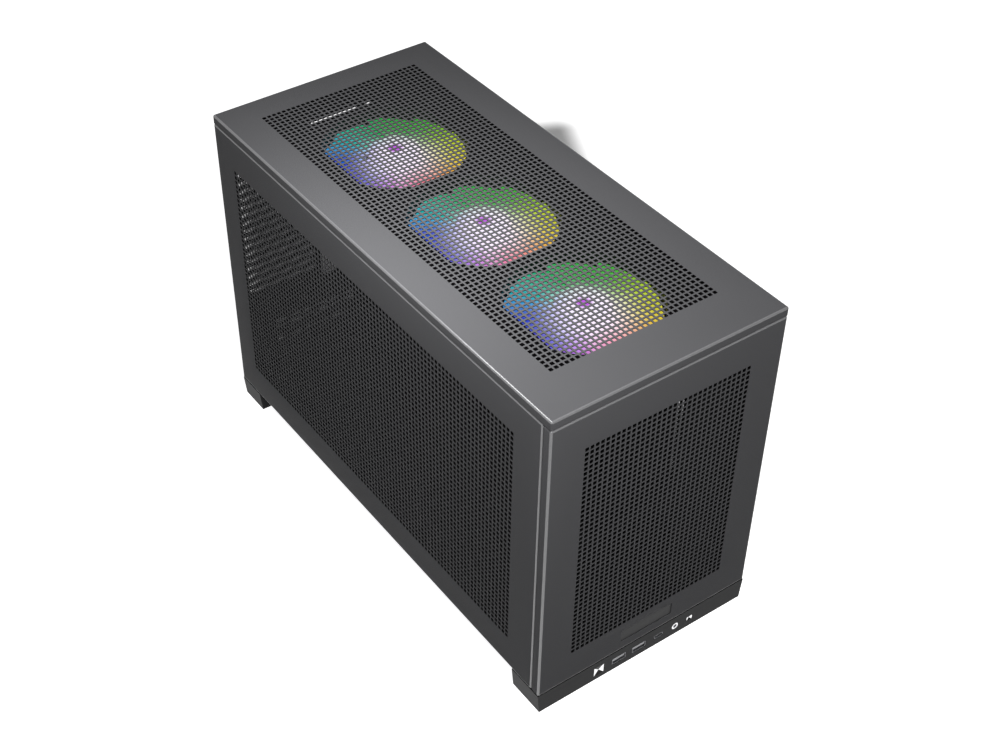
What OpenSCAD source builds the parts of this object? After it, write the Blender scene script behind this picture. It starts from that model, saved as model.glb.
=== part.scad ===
// Mini ITX computer case: folded steel covers that pull off a riveted sheet chassis,
// three 120 mm fans under the vented top, and a port strip in the front foot.
// The front faces -Y, +X is to the right seen from the front, and +Z is up.
// The origin is on the ground, under the middle of the case.

/* [Case] */
// Overall width of the case
case_w = 205; // [200:1:250]
// Overall length from front to rear
case_l = 445; // [435:1:520]
// Overall height with the feet
case_h = 297; // [295:1:340]
// Thickness of the folded steel sheet
sheet = 1; // [0.8:0.1:1.2]
// Inner radius of each outer fold
fold_in = 0.4; // [0.2:0.1:0.8]
// Height of the feet and the port strip
foot_h = 20.3; // [19:0.1:28]

/* [Covers] */
// Height of the top cover's folded edge
top_flange = 7.5; // [6:0.5:9]
// Gap under the top cover's edge
cover_gap = 0.6; // [0.4:0.1:1.2]
// Depth of the front cover's folded edge
front_return = 7.8; // [6:0.2:10]
// Gap between the front cover and each side panel
corner_gap = 1; // [0.6:0.1:2]
// Depth of each side panel's folded edge
panel_return = 6; // [5:0.5:7]
// Running gap where a cover rests or slides
seat = 0.3; // [0.2:0.05:0.4]
// Set-back of the rear panel from the rear edges
rear_recess = 5; // [4:0.5:6]

/* [Vents] */
// Width of the vent in the top cover and the front cover
vent_w = 145.8; // [120:0.1:150]
// Length of the vent in the top cover and each side panel
vent_l = 377.7; // [340:0.1:380]
// Height of the vent in the front cover and each side panel
vent_h = 208.3; // [180:0.1:220]
// Shift of the top vent towards the rear
top_vent_shift = 6.4; // [0:0.1:8]
// Shift of each side vent towards the rear
side_vent_shift = 1; // [0:0.1:4]
// Open share of each vent's pitch
vent_open = 0.69; // [0.5:0.01:0.8]
// Holes across the top vent
top_vent_cols = 7; // [4:1:8]
// Holes along the top vent
top_vent_rows = 17; // [8:1:18]
// Holes across the front vent
front_vent_cols = 9; // [4:1:10]
// Holes up the front vent
front_vent_rows = 13; // [6:1:14]
// Holes along each side vent
side_vent_cols = 15; // [8:1:16]
// Holes up each side vent
side_vent_rows = 8; // [4:1:9]

/* [Badge] */
// Width of the bare badge plate
badge_w = 50; // [30:1:70]
// Height of the bare badge plate
badge_h = 12.5; // [8:0.5:16]
// Shift of the badge plate to the right
badge_shift = 1; // [0:0.1:3]
// Height of the badge's middle above the feet
badge_z = 15; // [12:0.5:18]
// Set-back of the badge plate
badge_inset = 0.5; // [0.2:0.1:0.8]

/* [Chassis] */
// Width of the chassis flanges
flange = 12; // [10:0.5:14]
// Distance from the top of the case to the underside of the fan tray
tray_drop = 10.5; // [9:0.5:14]
// Side of the motherboard tray that faces the board, from the middle
board_x = 33; // [30:0.5:34]
// Height of a motherboard standoff
standoff_h = 6.35; // [5:0.05:8]
// Radius of a rivet
rivet_r = 1.6; // [1.2:0.1:2]
// Radius of the pins that hold the covers
stud_r = 2; // [1.5:0.1:2.5]
// Distance of the cover pins from the case's outer faces
stud_in = 16.5; // [15:0.5:18]

/* [Rear] */
// Width of the opening for the motherboard's ports
io_w = 44.45; // [44:0.05:45]
// Height of the opening for the motherboard's ports
io_h = 158.75; // [158:0.05:160]
// Depth of the pocket for the expansion slots
pocket_d = 12; // [11:0.5:14]
// Distance between expansion slots
slot_pitch = 20.32; // [20.3:0.01:20.4]
// Width of an expansion slot cover
cover_w = 18.42; // [18:0.01:19]
// Length of an expansion slot cover
cover_l = 120.02; // [118:0.01:121]
// Thickness of an expansion slot cover
cover_t = 0.86; // [0.8:0.01:1]
// Distance between the screws of the power inlet
inlet_pitch = 40; // [38:0.5:42]

/* [Fans] */
// Side of each fan's square frame
fan_size = 120; // [118:0.5:120]
// Depth of each fan
fan_depth = 25; // [20:1:26]
// Distance between the screw holes of a fan
fan_hole_pitch = 105; // [103:0.5:105]
// Radius of a fan's screw holes
fan_hole_r = 2.15; // [2.1:0.05:2.3]
// Distance from the middle of the case to the middle fan, towards the rear
fan_shift = -6.3; // [-8:0.1:0]
// Radius of the bore that the blades turn in
bore_r = 58; // [57:0.1:58.5]
// Radius of the fan hub
hub_r = 21; // [18:0.5:24]
// Gap between the blade tips and the bore
tip_gap = 1.6; // [1:0.1:3]
// Number of blades
blades = 9; // [5:1:9]
// Thickness of a blade
blade_t = 1.4; // [1:0.1:2]
// Angle that a blade covers at its root, in degrees
blade_root_angle = 54; // [30:1:58]
// Angle that a blade covers at its tip, in degrees
blade_tip_angle = 50; // [30:1:58]
// Angle by which a blade leans from root to tip, in degrees
blade_sweep = 14; // [0:1:30]
// Radius of the fan's steel shaft
shaft_r = 1.5; // [1:0.1:2]

/* [Feet] */
// Depth of the front foot, which holds the port strip
front_foot_l = 32.8; // [30:0.2:40]
// Depth of the rear foot
rear_foot_l = 29.5; // [26:0.5:40]
// How far each side of a foot leans in at the bottom
foot_taper = 1.9; // [0:0.1:3]
// Wall of the moulded feet
foot_wall = 2.2; // [1.8:0.1:2.6]
// Radius of a rubber pad
pad_r = 6; // [4:0.5:7]
// How far the pads stand below the feet
pad_proud = 0.8; // [0.4:0.1:1.4]

/* [Front ports] */
// Height of the ports above the ground
port_z = 10; // [9.6:0.1:10.4]
// Place of the power button, from the middle
power_x = -43.6; // [-46:0.1:-42]
// Side of the square power button
power_w = 9.2; // [8:0.1:10]
// Place of the first USB-A port
usb_1_x = -23.9; // [-25:0.1:-22]
// Place of the second USB-A port
usb_2_x = -4; // [-6:0.1:-3]
// Place of the USB-C port
usb_c_x = 15.8; // [14:0.1:18]
// Place of the audio jack
jack_x = 32.6; // [31:0.1:34]
// Place of the reset button
reset_x = 47.4; // [46:0.1:49]
// Radius of the round reset button
reset_r = 2.9; // [2.5:0.1:3.6]
// Travel of the power button
power_travel = 1.2; // [0.5:0.1:1.4]
// Travel of the reset button
reset_travel = 0.8; // [0.3:0.1:1]

/* [Hidden] */
$fn = 48;
over = 1;

black_steel = "#3c3d40";
inner_steel = "#1c1c1e";
black_plastic = "#2c2c2e";
bright_metal = "#b9babd";
brass = "#b08d4a";
rubber = "#141414";
fan_black = "#18181a";
fan_white = "#e6e8ee";
board_green = "#1d2b24";

// Outer faces of the case and planes of the chassis
x_out = case_w / 2;
y_out = case_l / 2;
x_chassis = x_out - panel_return - seat;
y_bulkhead = -y_out + front_return + seat;
y_rear = y_out - rear_recess;
z_floor = foot_h + sheet;
z_tray = case_h - tray_drop;
z_rim = case_h - sheet - seat;
z_cover_top = case_h - top_flange - cover_gap;
z_cover_low = foot_h + seat;
y_in_front = y_bulkhead + sheet;
y_in_rear = y_rear - sheet;
fold_out = fold_in + sheet;

// Side panels
panel_y0 = -y_out + front_return + corner_gap;
panel_l = y_out - panel_y0;
panel_y = (y_out + panel_y0) / 2;
cover_h = z_cover_top - z_cover_low;
cover_z = (z_cover_top + z_cover_low) / 2;

// Places of the cover pins
pin_reach = 4;
stud_head_h = 0.8;
stud_head_lip = 1.2;
pin_y_front = y_in_front + flange / 2;
pin_y_rear = y_in_rear - flange / 2;
pin_z_low = z_cover_low + 24;
pin_z_high = z_cover_top - 24;
front_pin_z_low = z_cover_low + 19.5;
front_pin_z_high = z_cover_top - 21;
top_pin_y_front = y_in_front + flange + 9.4;
top_pin_y_rear = y_in_rear - flange - 8.5;
clip_gap = 0.3;
clip_lip = 0.8;
clip_wall = 1.6;
clip_lip_r = stud_r + clip_gap + clip_wall + 1.4;
clip_hole_r = stud_r + clip_gap + clip_wall;
pin_x = x_out - stud_in;
front_pin_x = x_chassis - sheet - clip_lip_r - 0.1;

// Rear panel
io_x1 = board_x - 5.5;
io_z1 = z_tray - fan_depth;
io_x0 = io_x1 - io_w;
io_z0 = io_z1 - io_h;
board_edge = 6.35;
board_span_y = 154.94;
board_span_z = 157.48;
board_step_z = 22.86;
pocket_z1 = io_z1 - 2 * board_edge - board_span_z - 0.5 - sheet;
slot_z_top = pocket_z1 - cover_w / 2 - 1.3;
slots = 2;
pocket_z0 = slot_z_top - (slots - 1) * slot_pitch - cover_w / 2 - 1;
pocket_x0 = -x_chassis + sheet + 6.2;
pocket_x1 = board_x - 3;
y_pocket = y_rear - pocket_d;
cover_flange = 11.43;
cover_tab = 11;
cover_tab_w = 10.2;
slot_open_l = 103;
slot_open_h = 13;
slot_open_x0 = pocket_x0 + 6;
thumb_r = 4.6;
thumb_l = 5.5;
slot_screw_y = y_pocket + sheet + thumb_r + 0.3;
screw_r = 1.6;
screw_hole_r = 1.75;
screw_head_r = 2.8;
screw_head_h = 1.6;
exhaust_pitch = 8;
exhaust_h = 4;
exhaust_low = 30;
exhaust_left_x = [-x_chassis + sheet + 6, io_x0 - 6];
exhaust_right_x = [board_x + 3, x_chassis - sheet - 6];
exhaust_left_n = floor((io_h - 12) / exhaust_pitch);
exhaust_right_n = floor((io_z1 - exhaust_low - 125) / exhaust_pitch);
inlet_x = (board_x + x_chassis) / 2 + 1.4;
inlet_lift = 98.7;
inlet_z = z_floor + inlet_lift;
inlet_cut_w = 27.4;
inlet_cut_h = 20;
inlet_w = 50;
inlet_h = 22.4;
inlet_lip = 2.8;
inlet_d = 17;
inlet_mouth_w = 24.4;
inlet_mouth_h = 16.8;
inlet_recess = 15;
inlet_pin_l = 10.5;

// Motherboard tray
tray_z1 = io_z1 - 1.5;
tray_y0 = y_in_front + 17.4;
tray_y1 = y_in_rear - 1.4;
tray_x1 = board_x + sheet;
tray_lip = 13;
tray_flange_y1 = y_in_rear - 62.8;
tab_z0 = io_z0 - 18;
tab_h = 60;
board_hole_r = 1.25;
board_set_back = 12.3;
board_hole_y1 = y_in_rear - board_set_back;
board_hole_y0 = board_hole_y1 - board_span_y;
board_hole_z1 = io_z1 - board_edge;
board_hole_z0 = board_hole_z1 - board_span_z;
board_hole_zc = board_hole_z1 - board_step_z;
board_holes = [
    [board_hole_y0, board_hole_z0], [board_hole_y0, board_hole_z1],
    [board_hole_y1, board_hole_z0], [board_hole_y1, board_hole_zc]
];
standoff_af = 5;
cpu_y = [board_hole_y0 + 26, board_hole_y1 - 25];
cpu_z = [board_hole_z0 + 33, board_hole_z1 - 22];
cable_y = [board_hole_y0 - 62, board_hole_y0 - 20];
cable_z = [z_floor + 34, tray_z1 - 20];

// Power supply and drive brackets
psu_w = 63.5;
psu_h = 125;
psu_hole_x = 51.5;
psu_hole_z = 113;
psu_hole_r = 1.95;
psu_x = tray_x1 + 0.6 + psu_w / 2;
psu_bay_l = 165.7;
psu_lift = 91;
psu_y = tray_y0 + psu_bay_l;
psu_z = z_floor + psu_lift;
psu_open_w = 56;
psu_open_h = 102;
drive_hole_y = 76.6;
drive_hole_z = 61.72;
drive_hole_r = 1.7;
drive_y = tray_y0 + 64;
drive_w = 96;
drive_h = 68;
drive_z = tray_z1 - sheet - drive_h / 2 - 2.7;
drive_gap = 7;
drive_lip = 9;

// Fans and fan tray
fan_count = 3;
function fan_y(i) = fan_shift + (i - 2) * fan_size;
fan_z = z_tray - fan_depth;
window_x = bore_r - 7;
window_y = bore_r - 2;
window_cut = 22;
cable_slot_x = [-40, 19.5];
cable_slot_y = [fan_y(fan_count) + fan_size / 2 + 3.2, y_in_rear - flange];
frame_corner = 7;
strut_w = 4;
strut_t = 3;
motor_r = hub_r - 0.6;
hub_drop = 1.5;
hub_wall = 1.8;
hub_roof = 2.2;
stator_r = hub_r - hub_wall - 1.6;
stator_top = fan_depth - hub_drop - hub_roof - 2;
shaft_gap = 0.05;
tip_r = bore_r - tip_gap;
blade_span = 4;
blade_steps = 4;
blade_mid = 13.4;
blade_root_h = 9.5;
blade_tip_h = 8.5;
fan_screw_r = 2;
fan_screw_l = 9;
fan_head_r = 3.8;
fan_head_h = 2.2;
front_fan_x = board_x - fan_size / 2 - 1;
front_fan_z = [(z_floor + z_tray) / 2 - fan_size / 2, (z_floor + z_tray) / 2 + fan_size / 2];

// Feet, port strip and ports
y_foot_front = -y_out + front_foot_l;
y_foot_rear = y_out - rear_foot_l;
foot_floor = 2.2;
z_foot_in = pad_proud + foot_floor;
pad_depth = 1;
pad_x = x_out - 17;
strip_roof_l = 10;
strip_roof_t = 2;
base_screw_x = [-70, 70];
base_screw_in = 12.6;
base_screw_y_front = y_foot_front - base_screw_in + 1.2;
base_screw_y_rear = y_foot_rear + base_screw_in;
boss_r = 3.6;
boss_hole_r = 1.35;
base_screw_l = 8;
base_screw_r = 1.3;
base_head_r = 2.8;
base_head_h = 1.8;
y_port = -y_out;
y_wall_in = y_port + foot_wall;
usb_a_w = 13.1;
usb_a_h = 5.72;
usb_a_l = 14;
shell_t = 0.3;
usb_c_w = 8.94;
usb_c_h = 3.26;
usb_c_l = 7.6;
port_gap = 0.3;
port_inset = 0.2;
tongue_in = 0.4;
board_top = port_z - usb_a_h / 2;
io_board_t = 1.6;
io_board_edge = 6;
io_board_x = [power_x - io_board_edge, reset_x + io_board_edge];
io_board_y = [y_port + 6.4, y_foot_front - foot_wall - 4.4];
io_screw_in = 15;
io_screw_x = [io_board_x[0] + io_screw_in, io_board_x[1] - io_screw_in + 3.2];
io_screw_y = io_board_y[1] - 3.4;
jack_r = 1.8;
jack_ring_r = 3.15;
jack_body_w = 6.6;
jack_body_l = 12;
jack_ring_t = 1.6;
button_flange_t = 1;
button_flange = 1.3;
button_stem_r = 1.8;
button_stem_l = 5;
button_pit = 0.7;
power_hole = power_w + 2 * port_gap;
switch_w = 5.6;
switch_l = 3.6;
plunger_r = 1.4;
plunger_l = 1.4;
switch_play = 0.15;

function stem_end() = y_wall_in + port_gap + button_flange_t + button_stem_l;
function plunger_y(travel) = stem_end() + travel + switch_play;

// Every rivet as its place, on the sheet that its head sits on, and its axis
tray_tab_z = (front_fan_z[0] + front_fan_z[1]) / 2;
rivets_rear = [
    [-70, z_floor + flange / 2], [10, z_floor + flange / 2],
    [tray_x1 + 7, tab_z0 + 8], [tray_x1 + 7, tab_z0 + tab_h - 8],
    [pocket_x0 - 3.5, pocket_z0 + 12], [pocket_x0 - 3.5, pocket_z1 - 12]
];
rivets_front = [[-70, z_floor + flange / 2], [70, z_floor + flange / 2], [tray_x1 + 7, tray_tab_z]];
rivets_top = [
    [-75, y_in_rear - flange / 2], [75, y_in_rear - flange / 2],
    [-75, y_in_front + flange / 2], [75, y_in_front + flange / 2]
];
floor_rivet_x = tray_x1 + tray_lip / 2 + 0.5;
rivets_floor = [
    [floor_rivet_x, tray_y0 + 50], [floor_rivet_x, (tray_y0 + tray_flange_y1) / 2],
    [floor_rivet_x, tray_flange_y1 - 20]
];
rivets_tray = [
    [psu_y + 8, psu_z - 45], [psu_y + 8, psu_z + 45],
    [drive_y - drive_w / 2 - drive_lip / 2, drive_z], [drive_y + drive_w / 2 + drive_lip / 2, drive_z]
];
rivet_gap = 0.05;
rivet_head_r = 3;
rivet_head_h = 0.9;

// A block from its lowest corner to its highest
module block(low, high) {
    translate(low)
        cube(high - low);
}

// A rod along Y from y0 to y1
module rod_y(r, x, z, y0, y1) {
    translate([x, y0, z])
        rotate([-90, 0, 0])
            cylinder(h = y1 - y0, r = r);
}

// A rod along X from x0 to x1
module rod_x(r, y, z, x0, x1) {
    translate([x0, y, z])
        rotate([0, 90, 0])
            cylinder(h = x1 - x0, r = r);
}

// A rod along Z from z0 to z1
module rod_z(r, x, y, z0, z1) {
    translate([x, y, z0])
        cylinder(h = z1 - z0, r = r);
}

// A rectangle with round corners
module round_rect(w, h, r) {
    square([w - 2 * r, h], center = true);
    square([w, h - 2 * r], center = true);
    for (x = [-1, 1], y = [-1, 1])
        translate([x * (w / 2 - r), y * (h / 2 - r)])
            circle(r);
}

// Section of a folded tray, open at the bottom, with its outer face at 0
module tray_section(w, depth, r) {
    translate([-w / 2, -depth])
        square([w, depth - r]);
    translate([-w / 2 + r, -depth])
        square([w - 2 * r, depth]);
    for (side = [-1, 1])
        translate([side * (w / 2 - r), -r])
            circle(r);
}

module tray_solid(w, l, depth, r) {
    intersection() {
        rotate([90, 0, 0])
            linear_extrude(l, center = true)
                tray_section(w, depth, r);
        rotate([90, 0, 90])
            linear_extrude(w, center = true)
                tray_section(l, depth, r);
    }
}

// A sheet with its four edges folded down, its outer face at z = 0
module folded_sheet(w, l, depth) {
    difference() {
        tray_solid(w, l, depth, fold_out);
        translate([0, 0, -sheet])
            tray_solid(w - 2 * sheet, l - 2 * sheet, depth, fold_in);
    }
}

// Square holes in a straight grid, cut through a sheet whose outer face is at z = 0
module vent(w, h, cols, rows) {
    pitch_x = w / (cols - 1 + vent_open);
    pitch_y = h / (rows - 1 + vent_open);
    translate([0, 0, -sheet - over])
        linear_extrude(sheet + 2 * over)
            for (i = [0 : cols - 1], j = [0 : rows - 1])
                translate([(i - (cols - 1) / 2) * pitch_x, (j - (rows - 1) / 2) * pitch_y])
                    square([pitch_x * vent_open, pitch_y * vent_open], center = true);
}

// Places a sheet's outer face towards the front, the left or the right
module face_front(y, z) {
    translate([0, y, z])
        rotate([90, 0, 0])
            children();
}

module face_left(x, y, z) {
    translate([x, y, z])
        rotate([90, 0, -90])
            children();
}

// Holes or shanks of every rivet, with the given radius
module rivet_shanks(r) {
    for (p = rivets_rear)
        rod_y(r, p[0], p[1], y_in_rear - sheet, y_rear);
    for (p = rivets_front)
        rod_y(r, p[0], p[1], y_bulkhead, y_in_front + sheet);
    for (p = rivets_top)
        rod_z(r, p[0], p[1], z_tray - sheet, z_tray + sheet);
    for (p = rivets_floor)
        rod_z(r, p[0], p[1], foot_h, z_floor + sheet);
    for (p = rivets_tray)
        rod_x(r, p[0], p[1], board_x, tray_x1 + sheet);
}

module rivet_holes() {
    rivet_shanks(rivet_r + rivet_gap);
}

// Pins behind the covers, as [along, up] places
module side_pin_places() {
    for (y = [pin_y_front, pin_y_rear], z = [pin_z_low, pin_z_high])
        translate([0, y, z])
            children();
}

module front_pin_places() {
    for (x = [-front_pin_x, front_pin_x], z = [front_pin_z_low, front_pin_z_high])
        translate([x, 0, z])
            children();
}

module top_pin_places() {
    for (x = [-pin_x, pin_x], y = [top_pin_y_front, top_pin_y_rear])
        translate([x, y, 0])
            children();
}

// A headed pin that stands on a cover and points along +Z
module cover_pin(l) {
    cylinder(h = stud_head_h, r = stud_r + stud_head_lip);
    cylinder(h = l - stud_r, r = stud_r);
    translate([0, 0, l - stud_r])
        sphere(stud_r);
}

// A plastic clip in a sheet that lies between z = 0 and z = sheet
module pin_clip() {
    difference() {
        union() {
            cylinder(h = sheet, r = clip_hole_r);
            translate([0, 0, -clip_lip])
                cylinder(h = clip_lip, r = clip_lip_r);
            translate([0, 0, sheet])
                cylinder(h = clip_lip, r = clip_lip_r - 0.6);
        }
        translate([0, 0, -clip_lip - over])
            cylinder(h = sheet + 2 * clip_lip + 2 * over, r = stud_r + clip_gap);
    }
}

module side_clip_holes(side) {
    side_pin_places()
        rotate([0, 90, 0])
            translate([0, 0, side * (x_chassis - sheet / 2) - sheet])
                cylinder(h = 2 * sheet, r = clip_hole_r);
}

// Covers

module top_cover() color(black_steel)
    translate([0, 0, case_h])
        difference() {
            folded_sheet(case_w, case_l, top_flange);
            translate([0, top_vent_shift, 0])
                vent(vent_w, vent_l, top_vent_cols, top_vent_rows);
        }

module top_cover_studs() color(bright_metal)
    top_pin_places()
        translate([0, 0, case_h - sheet])
            rotate([180, 0, 0])
                cover_pin(tray_drop + pin_reach);

module front_cover() color(black_steel)
    difference() {
        face_front(-y_out, cover_z)
            difference() {
                folded_sheet(case_w, cover_h, front_return);
                vent(vent_w, vent_h, front_vent_cols, front_vent_rows);
            }
        translate([badge_shift, -y_out - over, z_cover_low + badge_z])
            rotate([-90, 0, 0])
                linear_extrude(sheet + 2 * over)
                    round_rect(badge_w, badge_h, 1);
    }

module front_cover_studs() color(bright_metal)
    front_pin_places()
        translate([0, -y_out + sheet, 0])
            rotate([-90, 0, 0])
                cover_pin(front_return + seat + pin_reach);

// The badge plate is bare: a plug in the cover's window on a flange behind it
module badge_plate() color(black_plastic)
    translate([badge_shift, -y_out + badge_inset, z_cover_low + badge_z])
        rotate([-90, 0, 0]) {
            linear_extrude(sheet - badge_inset)
                round_rect(badge_w, badge_h, 1);
            translate([0, 0, sheet - badge_inset])
                linear_extrude(0.8)
                    round_rect(badge_w + 4, badge_h + 4, 2);
        }

module side_panel() {
    face_left(-x_out, panel_y, cover_z)
        difference() {
            folded_sheet(panel_l, cover_h, panel_return);
            translate([-side_vent_shift, 0, 0])
                vent(vent_l, vent_h, side_vent_cols, side_vent_rows);
        }
}

module panel_studs() {
    side_pin_places()
        translate([-x_out + sheet, 0, 0])
            rotate([0, 90, 0])
                cover_pin(panel_return + seat + pin_reach);
}

module left_side_panel() color(black_steel) side_panel();

module left_panel_studs() color(bright_metal) panel_studs();

module right_side_panel() color(black_steel)
    mirror([1, 0, 0])
        side_panel();

module right_panel_studs() color(bright_metal)
    mirror([1, 0, 0])
        panel_studs();

// Feet

// Outline of a foot seen from the front, narrower at the ground
module foot_section(inset, low) {
    lean = foot_taper / (foot_h - pad_proud);
    half_low = x_out - foot_taper + lean * (low - pad_proud) - inset;
    half_top = x_out - inset;
    polygon([[-half_low, low], [half_low, low], [half_top, foot_h], [-half_top, foot_h]]);
}

// A hollow foot from y0 to y1 with its floor at the ground and its top open
module foot_shell(y0, y1) {
    difference() {
        translate([0, y1, 0])
            rotate([90, 0, 0])
                linear_extrude(y1 - y0)
                    foot_section(0, pad_proud);
        translate([0, y1 - foot_wall, 0.01])
            rotate([90, 0, 0])
                linear_extrude(y1 - y0 - 2 * foot_wall)
                    foot_section(foot_wall, z_foot_in);
    }
}

module pad_recess(y) {
    for (x = [-pad_x, pad_x])
        rod_z(pad_r + 0.1, x, y, pad_proud - over, pad_proud + pad_depth);
}

module boss(x, y, z1) {
    difference() {
        rod_z(boss_r, x, y, z_foot_in - 0.5, z1);
        rod_z(boss_hole_r, x, y, z_foot_in, z1 + over);
    }
}

module front_base() color(black_plastic) {
    y_roof = y_port + strip_roof_l;
    difference() {
        union() {
            foot_shell(y_port, y_foot_front);
            block([-x_out + foot_wall, y_port + 1, foot_h - strip_roof_t],
                [x_out - foot_wall, y_roof, foot_h]);
        }
        pad_recess(y_foot_front - front_foot_l / 2);
        translate([power_x, y_port - over, port_z])
            rotate([-90, 0, 0])
                linear_extrude(foot_wall + 2 * over)
                    square(power_hole, center = true);
        for (x = [usb_1_x, usb_2_x])
            translate([x, y_port - over, port_z])
                rotate([-90, 0, 0])
                    linear_extrude(foot_wall + 2 * over)
                        round_rect(usb_a_w + 2 * port_gap, usb_a_h + 2 * port_gap, 0.8);
        translate([usb_c_x, y_port - over, port_z])
            rotate([-90, 0, 0])
                linear_extrude(foot_wall + 2 * over)
                    round_rect(usb_c_w + 2 * port_gap, usb_c_h + 2 * port_gap, usb_c_h / 2 + port_gap - 0.01);
        rod_y(jack_ring_r + 0.05, jack_x, port_z, y_port - over, y_wall_in + over);
        rod_y(reset_r + port_gap, reset_x, port_z, y_port - over, y_wall_in + over);
    }
    for (x = base_screw_x)
        boss(x, base_screw_y_front, foot_h);
    for (x = io_screw_x)
        boss(x, io_screw_y, board_top - io_board_t);
}

module rear_base() color(black_plastic) {
    difference() {
        foot_shell(y_foot_rear, y_out);
        pad_recess(y_out - rear_foot_l / 2);
    }
    for (x = base_screw_x)
        boss(x, base_screw_y_rear, foot_h);
}

module foot_pads() color(rubber)
    for (x = [-pad_x, pad_x], y = [y_foot_front - front_foot_l / 2, y_out - rear_foot_l / 2])
        rod_z(pad_r, x, y, 0, pad_proud + pad_depth);

module base_screws() color(bright_metal)
    for (x = base_screw_x, y = [base_screw_y_front, base_screw_y_rear]) {
        rod_z(base_screw_r, x, y, z_floor - base_screw_l, z_floor + 0.2);
        rod_z(base_head_r, x, y, z_floor, z_floor + base_head_h);
    }

// Chassis sheets

module base_tray() color(inner_steel)
    difference() {
        union() {
            block([-x_chassis, y_in_front, foot_h], [x_chassis, y_in_rear, z_floor]);
            for (side = [-1, 1])
                translate([side * (x_chassis - sheet / 2), 0, 0])
                    block([-sheet / 2, y_in_front + flange + 1, foot_h],
                        [sheet / 2, y_in_rear - flange - 1, z_floor + flange]);
            for (y = [y_in_front, y_in_rear - sheet])
                block([-x_chassis + sheet + 1, y, foot_h], [x_chassis - sheet - 1, y + sheet, z_floor + flange]);
        }
        rivet_holes();
        for (x = base_screw_x, y = [base_screw_y_front, base_screw_y_rear])
            rod_z(base_screw_r + 0.3, x, y, foot_h - over, z_floor + over);
        block([io_x1 + sheet, y_in_rear - sheet - over, z_floor + sheet],
            [tray_x1 + tray_lip + 2, y_in_rear + over, z_floor + flange + over]);
    }

module rear_panel() color(inner_steel)
    difference() {
        union() {
            block([-x_chassis, y_in_rear, foot_h], [x_chassis, y_rear, z_tray]);
            for (side = [-1, 1])
                translate([side * (x_chassis - sheet / 2), 0, 0])
                    block([-sheet / 2, y_in_rear - flange, z_floor], [sheet / 2, y_rear, z_tray]);
            block([-x_chassis, y_in_rear - flange, z_tray - sheet], [x_chassis, y_rear, z_tray]);
        }
        block([io_x0, y_in_rear - over, io_z0], [io_x1, y_rear + over, io_z1]);
        block([pocket_x0, y_in_rear - over, pocket_z0], [pocket_x1, y_rear + over, pocket_z1]);
        for (j = [0 : exhaust_left_n])
            block([exhaust_left_x[0], y_in_rear - over, io_z1 - exhaust_h - j * exhaust_pitch],
                [exhaust_left_x[1], y_rear + over, io_z1 - j * exhaust_pitch]);
        for (j = [0 : exhaust_right_n])
            block([exhaust_right_x[0], y_in_rear - over, io_z1 - exhaust_h - j * exhaust_pitch],
                [exhaust_right_x[1], y_rear + over, io_z1 - j * exhaust_pitch]);
        at_inlet() {
            block([-inlet_cut_w / 2, y_in_rear - over, -inlet_cut_h / 2],
                [inlet_cut_w / 2, y_rear + over, inlet_cut_h / 2]);
            for (side = [-1, 1])
                rod_y(screw_hole_r, side * inlet_pitch / 2, 0, y_in_rear - over, y_rear + over);
        }
        rivet_holes();
        for (side = [-1, 1])
            side_clip_holes(side);
    }

// Opening over a fan: a rectangle whose corners are cut to leave the screw holes their metal
module fan_window() {
    polygon([
        [-window_x, -window_y + window_cut], [-window_x + window_cut, -window_y],
        [window_x - window_cut, -window_y], [window_x, -window_y + window_cut],
        [window_x, window_y - window_cut], [window_x - window_cut, window_y],
        [-window_x + window_cut, window_y], [-window_x, window_y - window_cut]
    ]);
}

module fan_cuts() {
    fan_window();
    for (x = [-1, 1], y = [-1, 1])
        translate([x * fan_hole_pitch / 2, y * fan_hole_pitch / 2])
            circle(fan_hole_r);
}

module front_bulkhead() color(inner_steel)
    difference() {
        union() {
            block([-x_chassis, y_bulkhead, foot_h], [x_chassis, y_in_front, z_tray]);
            for (side = [-1, 1])
                translate([side * (x_chassis - sheet / 2), 0, 0])
                    block([-sheet / 2, y_bulkhead, z_floor], [sheet / 2, y_in_front + flange, z_tray]);
            block([-x_chassis, y_bulkhead, z_tray - sheet], [x_chassis, y_in_front + flange, z_tray]);
        }
        for (z = front_fan_z)
            translate([front_fan_x, y_in_front + over, z])
                rotate([90, 0, 0])
                    linear_extrude(sheet + 2 * over)
                        fan_cuts();
        rivet_holes();
        for (side = [-1, 1])
            side_clip_holes(side);
        front_pin_places()
            rod_y(clip_hole_r, 0, 0, y_bulkhead - over, y_in_front + over);
    }

module fan_tray() color(inner_steel)
    difference() {
        union() {
            block([-x_chassis, y_bulkhead, z_tray], [x_chassis, y_rear, z_tray + sheet]);
            for (side = [-1, 1])
                translate([side * (x_chassis - sheet / 2), 0, 0])
                    block([-sheet / 2, y_bulkhead, z_tray], [sheet / 2, y_rear, z_rim]);
            for (y = [y_bulkhead, y_in_rear])
                block([-x_chassis, y, z_tray], [x_chassis, y + sheet, z_rim]);
        }
        for (i = [1 : fan_count])
            translate([0, fan_y(i), z_tray - over])
                linear_extrude(sheet + 2 * over)
                    fan_cuts();
        block([cable_slot_x[0], cable_slot_y[0], z_tray - over],
            [cable_slot_x[1], cable_slot_y[1], z_tray + sheet + over]);
        rivet_holes();
        top_pin_places()
            rod_z(clip_hole_r, 0, 0, z_tray - over, z_tray + sheet + over);
    }

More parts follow.
